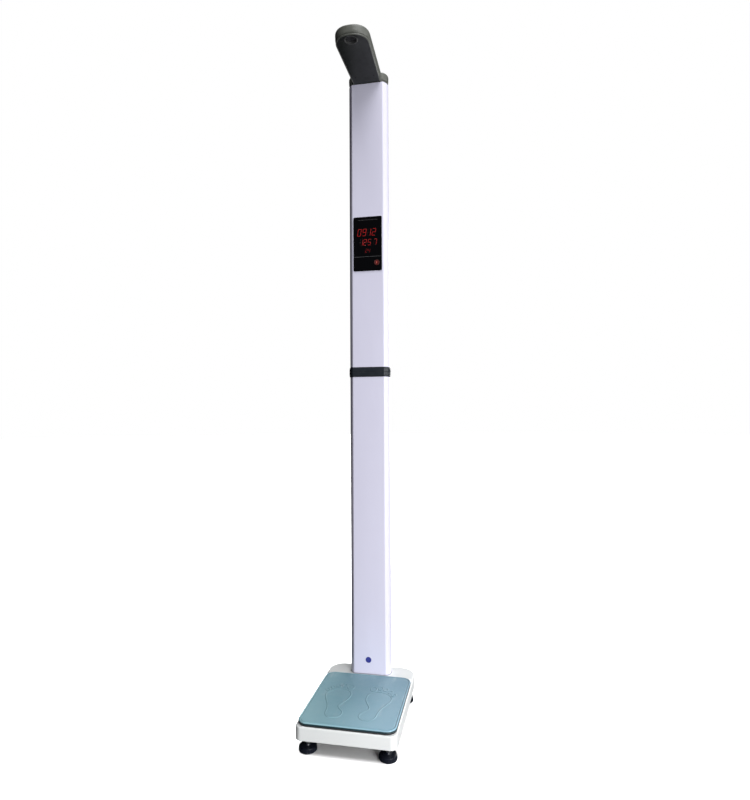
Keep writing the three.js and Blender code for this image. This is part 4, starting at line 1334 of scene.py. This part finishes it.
def build_head_cover():
    outline = head_outline()
    bottom, top = COVER_HIGH[2] - 6.7, COVER_HIGH[2]
    build_head_rim(outline, bottom)
    levels = [(8.2, bottom + 0.9), (5.0, bottom + 0.9), (3.6, bottom + 3.6), (3.6, top - 0.6), (5.2, top)]
    levels += [(8.6, top), (8.6, bottom + 2.6)]
    plug = skin(column_rings([(-2.4, COVER_LOW[2]), (-2.4, bottom + 2)]))
    passage = box_shape((-20, COLUMN_Y - 10, COVER_LOW[2] - 2), (20, COLUMN_Y + 14, top + 3))
    x, y, _ = middle("transducer_ring")
    steps = [("join", plug), ("cut", passage)]
    steps.append(("cut", moved(drum(21.3, bottom - 3, top + 3, 96), x, y)))
    for i in SCREWS:
        x, y, _ = middle(f"head_screw_{i}")
        steps.append(("cut", moved(drum(1.9, bottom - 2, top + 3), x, y)))
        steps.append(("cut", moved(drum(3.5, bottom - 2, bottom + 1.4), x, y)))
    cover = combined(skin(stepped(outline, levels)), *steps)
    place("head_bottom", cover, UNDERSIDE_SHADE_CHARCOAL, UPPER, ["head_cover"], 40)


def build_transducer():
    low, high = node_box("transducer_ring")
    x, y = (low[:2] + high[:2]) / 2
    z = low[2] + 1.2
    lip = fillet([
        (18.8, 11), (18.8, -0.6, 0.5), (19.6, -1.2, 0.5), (21.6, -1.2, 0.6), (22.6, -0.5, 0.4),
        (22.5, -0.3), (21.0, -0.3), (21.0, 11),
    ], 5)
    shape = moved(turned(lip[::-1], 96), x, y, z)
    place("sensor_ring", shape, RING, UPPER, ["transducer_ring"], 40)
    can = fillet([
        (0, 21), (15, 21, 0.4), (15, 15), (18.4, 14, 0.4), (18.4, 3.6, 0.5), (17.2, 3.6, 0.3),
        (16.4, 4.7, 0.4), (14.4, 4.9, 0.3), (14.0, 4.5), (0, 4.3),
    ], 4)
    shape = moved(turned(can[::-1], 96), x, y, z)
    place("sensor_can", shape, GRILLE, UPPER, ["transducer"], 30)


def screw_shape():
    """A small countersunk screw with a cross recess, drawn with its head down."""
    head = fillet([(0, 0.3), (2.7, 0.2, 0.3), (3.1, 0.5, 0.15), (1.5, 1.8), (1.5, 15), (0, 15)])
    reach, half = 1.7, 0.32
    slot = box_shape((-reach, -half, -1), (reach, half, 1.0))
    crosswise = box_shape((-half, -reach, -1), (half, reach, 1.0))
    return combined(turned(head, 40), ("cut", slot), ("cut", crosswise))


def build_head_screws():
    for i in SCREWS:
        node = f"head_screw_{i}"
        x, y, _ = middle(node)
        screw = shift(screw_shape(), x, y, node_box(node)[0][2] - 0.2)
        place(f"cover_screw_{i}", screw, BLACK_STEEL, UPPER, [node], 35)


# ---------------------------------------------------------------- carried-over nodes

def dress(node, paint, bevel=0.0):
    """Gives a CAD node its finish, and eases its edges."""
    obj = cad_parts[node]
    obj.data.materials.clear()
    obj.data.materials.append(paint)
    if bevel:
        soften(obj, bevel)


def dress_nodes():
    for node in ("chassis_plate", "pan_spider", "column_socket"):
        dress(node, STEEL, 0.5)
    for node in ("cell_spacer_lower", "cell_spacer_upper"):
        dress(node, STEEL, 0.3)
    dress("load_cell", ALUMINIUM, 0.5)
    for node in ("adc_board", "display_board", "sensor_board"):
        dress(node, BOARD, 0.2)
    for node in ("lower_loom", "display_loom", "sensor_loom"):
        dress(node, CABLE_JACKET)
        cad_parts[node].data.shade_smooth()
    dress("display_tray", BLACK_PLASTIC, 0.4)
    dress("tact_switch", BLACK_PLASTIC, 0.2)
    for node in ("digit_row_top", "digit_row_middle", "digit_row_bottom"):
        dress(node, LED_BODY, 0.4)


# ---------------------------------------------------------------- stage

CAMERA_AT = (0.43346, -1.87849, 1.01855)
CAMERA_YAW = 11.448
CAMERA_PITCH = -1.611
CAMERA_ROLL = -0.302
CAMERA_LENS = 25.652
SENSOR = 36.0
FLOOR_R = 30000
WORLD_TOWARDS = (0.9, -0.3, 0.35)
WORLD_RAMP = (0.35, 0.95, 0.006, 0.72)
WORLD_BELOW = (-0.4, 0.1, 0.15, 1.0)


def build_camera():
    data = bpy.data.cameras.new("camera")
    data.lens = CAMERA_LENS
    data.sensor_width = SENSOR
    data.clip_start = 0.05
    data.clip_end = 100
    camera = bpy.data.objects.new("camera", data)
    scene.collection.objects.link(camera)
    yaw, pitch, roll = (math.radians(a) for a in (CAMERA_YAW, CAMERA_PITCH, CAMERA_ROLL))
    back = Vector((
        math.sin(yaw) * math.cos(pitch), -math.cos(yaw) * math.cos(pitch), math.sin(pitch)))
    right = (-back).cross(Vector((0, 0, 1))).normalized()
    up = right.cross(-back)
    level = Matrix((right, up, back)).transposed()
    camera.matrix_world = Matrix.Translation(CAMERA_AT) @ (level @ Matrix.Rotation(roll, 3, "Z")).to_4x4()
    scene.camera = camera


def soft_light(name, at, aim, width, height, power):
    data = bpy.data.lights.new(name, "AREA")
    data.shape = "RECTANGLE"
    data.size = width
    data.size_y = height
    data.energy = power
    light = bpy.data.objects.new(name, data)
    light.location = at
    light.rotation_euler = (Vector(aim) - Vector(at)).to_track_quat("-Z", "Y").to_euler()
    scene.collection.objects.link(light)


def build_floor():
    """A plain pale floor, large enough to reach the horizon, with a light of its own.
    Its bounce is left to the world, which is how the underside of the head stays dark."""
    paint = Paint("studio_floor", Roughness=0.9, Specular_IOR_Level=0.0)
    drift = paint.span(paint.noise(1.5, 3), 0.3, 0.7, 0.0, 1.0)
    colour = paint.mix(drift, rgb(0.92, 0.92, 0.92), rgb(0.94, 0.94, 0.94))
    paint.bump(paint.noise(120, 3), 0.0002, 0.2)
    floor = to_object(skin([ring(circle(FLOOR_R, 96), z) for z in (-20.0, 0.0)]), "studio_floor")
    floor.data.materials.append(paint.done(colour))
    floor.visible_diffuse = False
    floor.visible_glossy = False
    data = bpy.data.lights.new("floor_light", "SUN")
    data.energy = 7.0
    data.angle = math.radians(60)
    light = bpy.data.objects.new("floor_light", data)
    scene.collection.objects.link(light)
    receivers = bpy.data.collections.new("floor_only")
    receivers.objects.link(floor)
    light.light_linking.receiver_collection = receivers


def build_world():
    """White behind the object, and soft light that fades from WORLD_TOWARDS to the far side."""
    world = bpy.data.worlds.new("studio")
    scene.world = world
    world.use_nodes = True
    world.node_tree.nodes.clear()
    graph = Graph(world.node_tree)
    way = graph.node("TexCoord").outputs["Generated"]
    aim = Vector(WORLD_TOWARDS).normalized()
    towards = graph.node("VectorMath", {0: way, 1: aim}, operation="DOT_PRODUCT").outputs["Value"]
    height = graph.node("SeparateXYZ", {0: way}).outputs["Z"]
    strength = graph.math("MULTIPLY", graph.span(towards, *WORLD_RAMP), graph.span(height, *WORLD_BELOW))
    studio = graph.node("Background", {"Color": rgb(0.97, 0.98, 1.0), "Strength": strength})
    backdrop = graph.node("Background", {"Color": rgb(1, 1, 1)})
    camera_ray = graph.node("LightPath").outputs["Is Camera Ray"]
    mixed = graph.node("MixShader", {0: camera_ray, 1: studio.outputs[0], 2: backdrop.outputs[0]})
    graph.node("OutputWorld", {"Surface": mixed.outputs[0]})


def build_stage():
    build_camera()
    build_floor()
    build_world()
    soft_light("key", (2.7, 0.1, 1.5), (0, 0.15, 1.2), 1.0, 2.4, 25)
    soft_light("front", (2.4, -2.0, 1.5), (0, 0.1, 1.3), 1.2, 2.2, 38)
    soft_light("low", (1.3, -2.0, 0.4), (0, -0.1, 0.1), 0.6, 0.5, 41)
    soft_light("top", (0.8, -1.2, 4.0), (0.1, 0, 0), 2.0, 2.0, 56)
    soft_light("back", (0.7, 3.4, 1.6), (0, 0.2, 1.1), 1.6, 2.2, 75)
    scene.view_settings.view_transform = "Standard"


build_casing()
build_column_seal()
build_seal_and_gap_shade()
build_buffers()
build_feet()
build_pan()
build_mat()
build_lower_column()
build_upper_column()
build_collars()
build_pin()
build_catch()
build_bolts()
build_inlet()
build_switch()
build_badge()
build_window()
build_digits()
build_window_print()
build_key()
build_head_shell()
build_head_cover()
build_transducer()
build_head_screws()
dress_nodes()
build_stage()
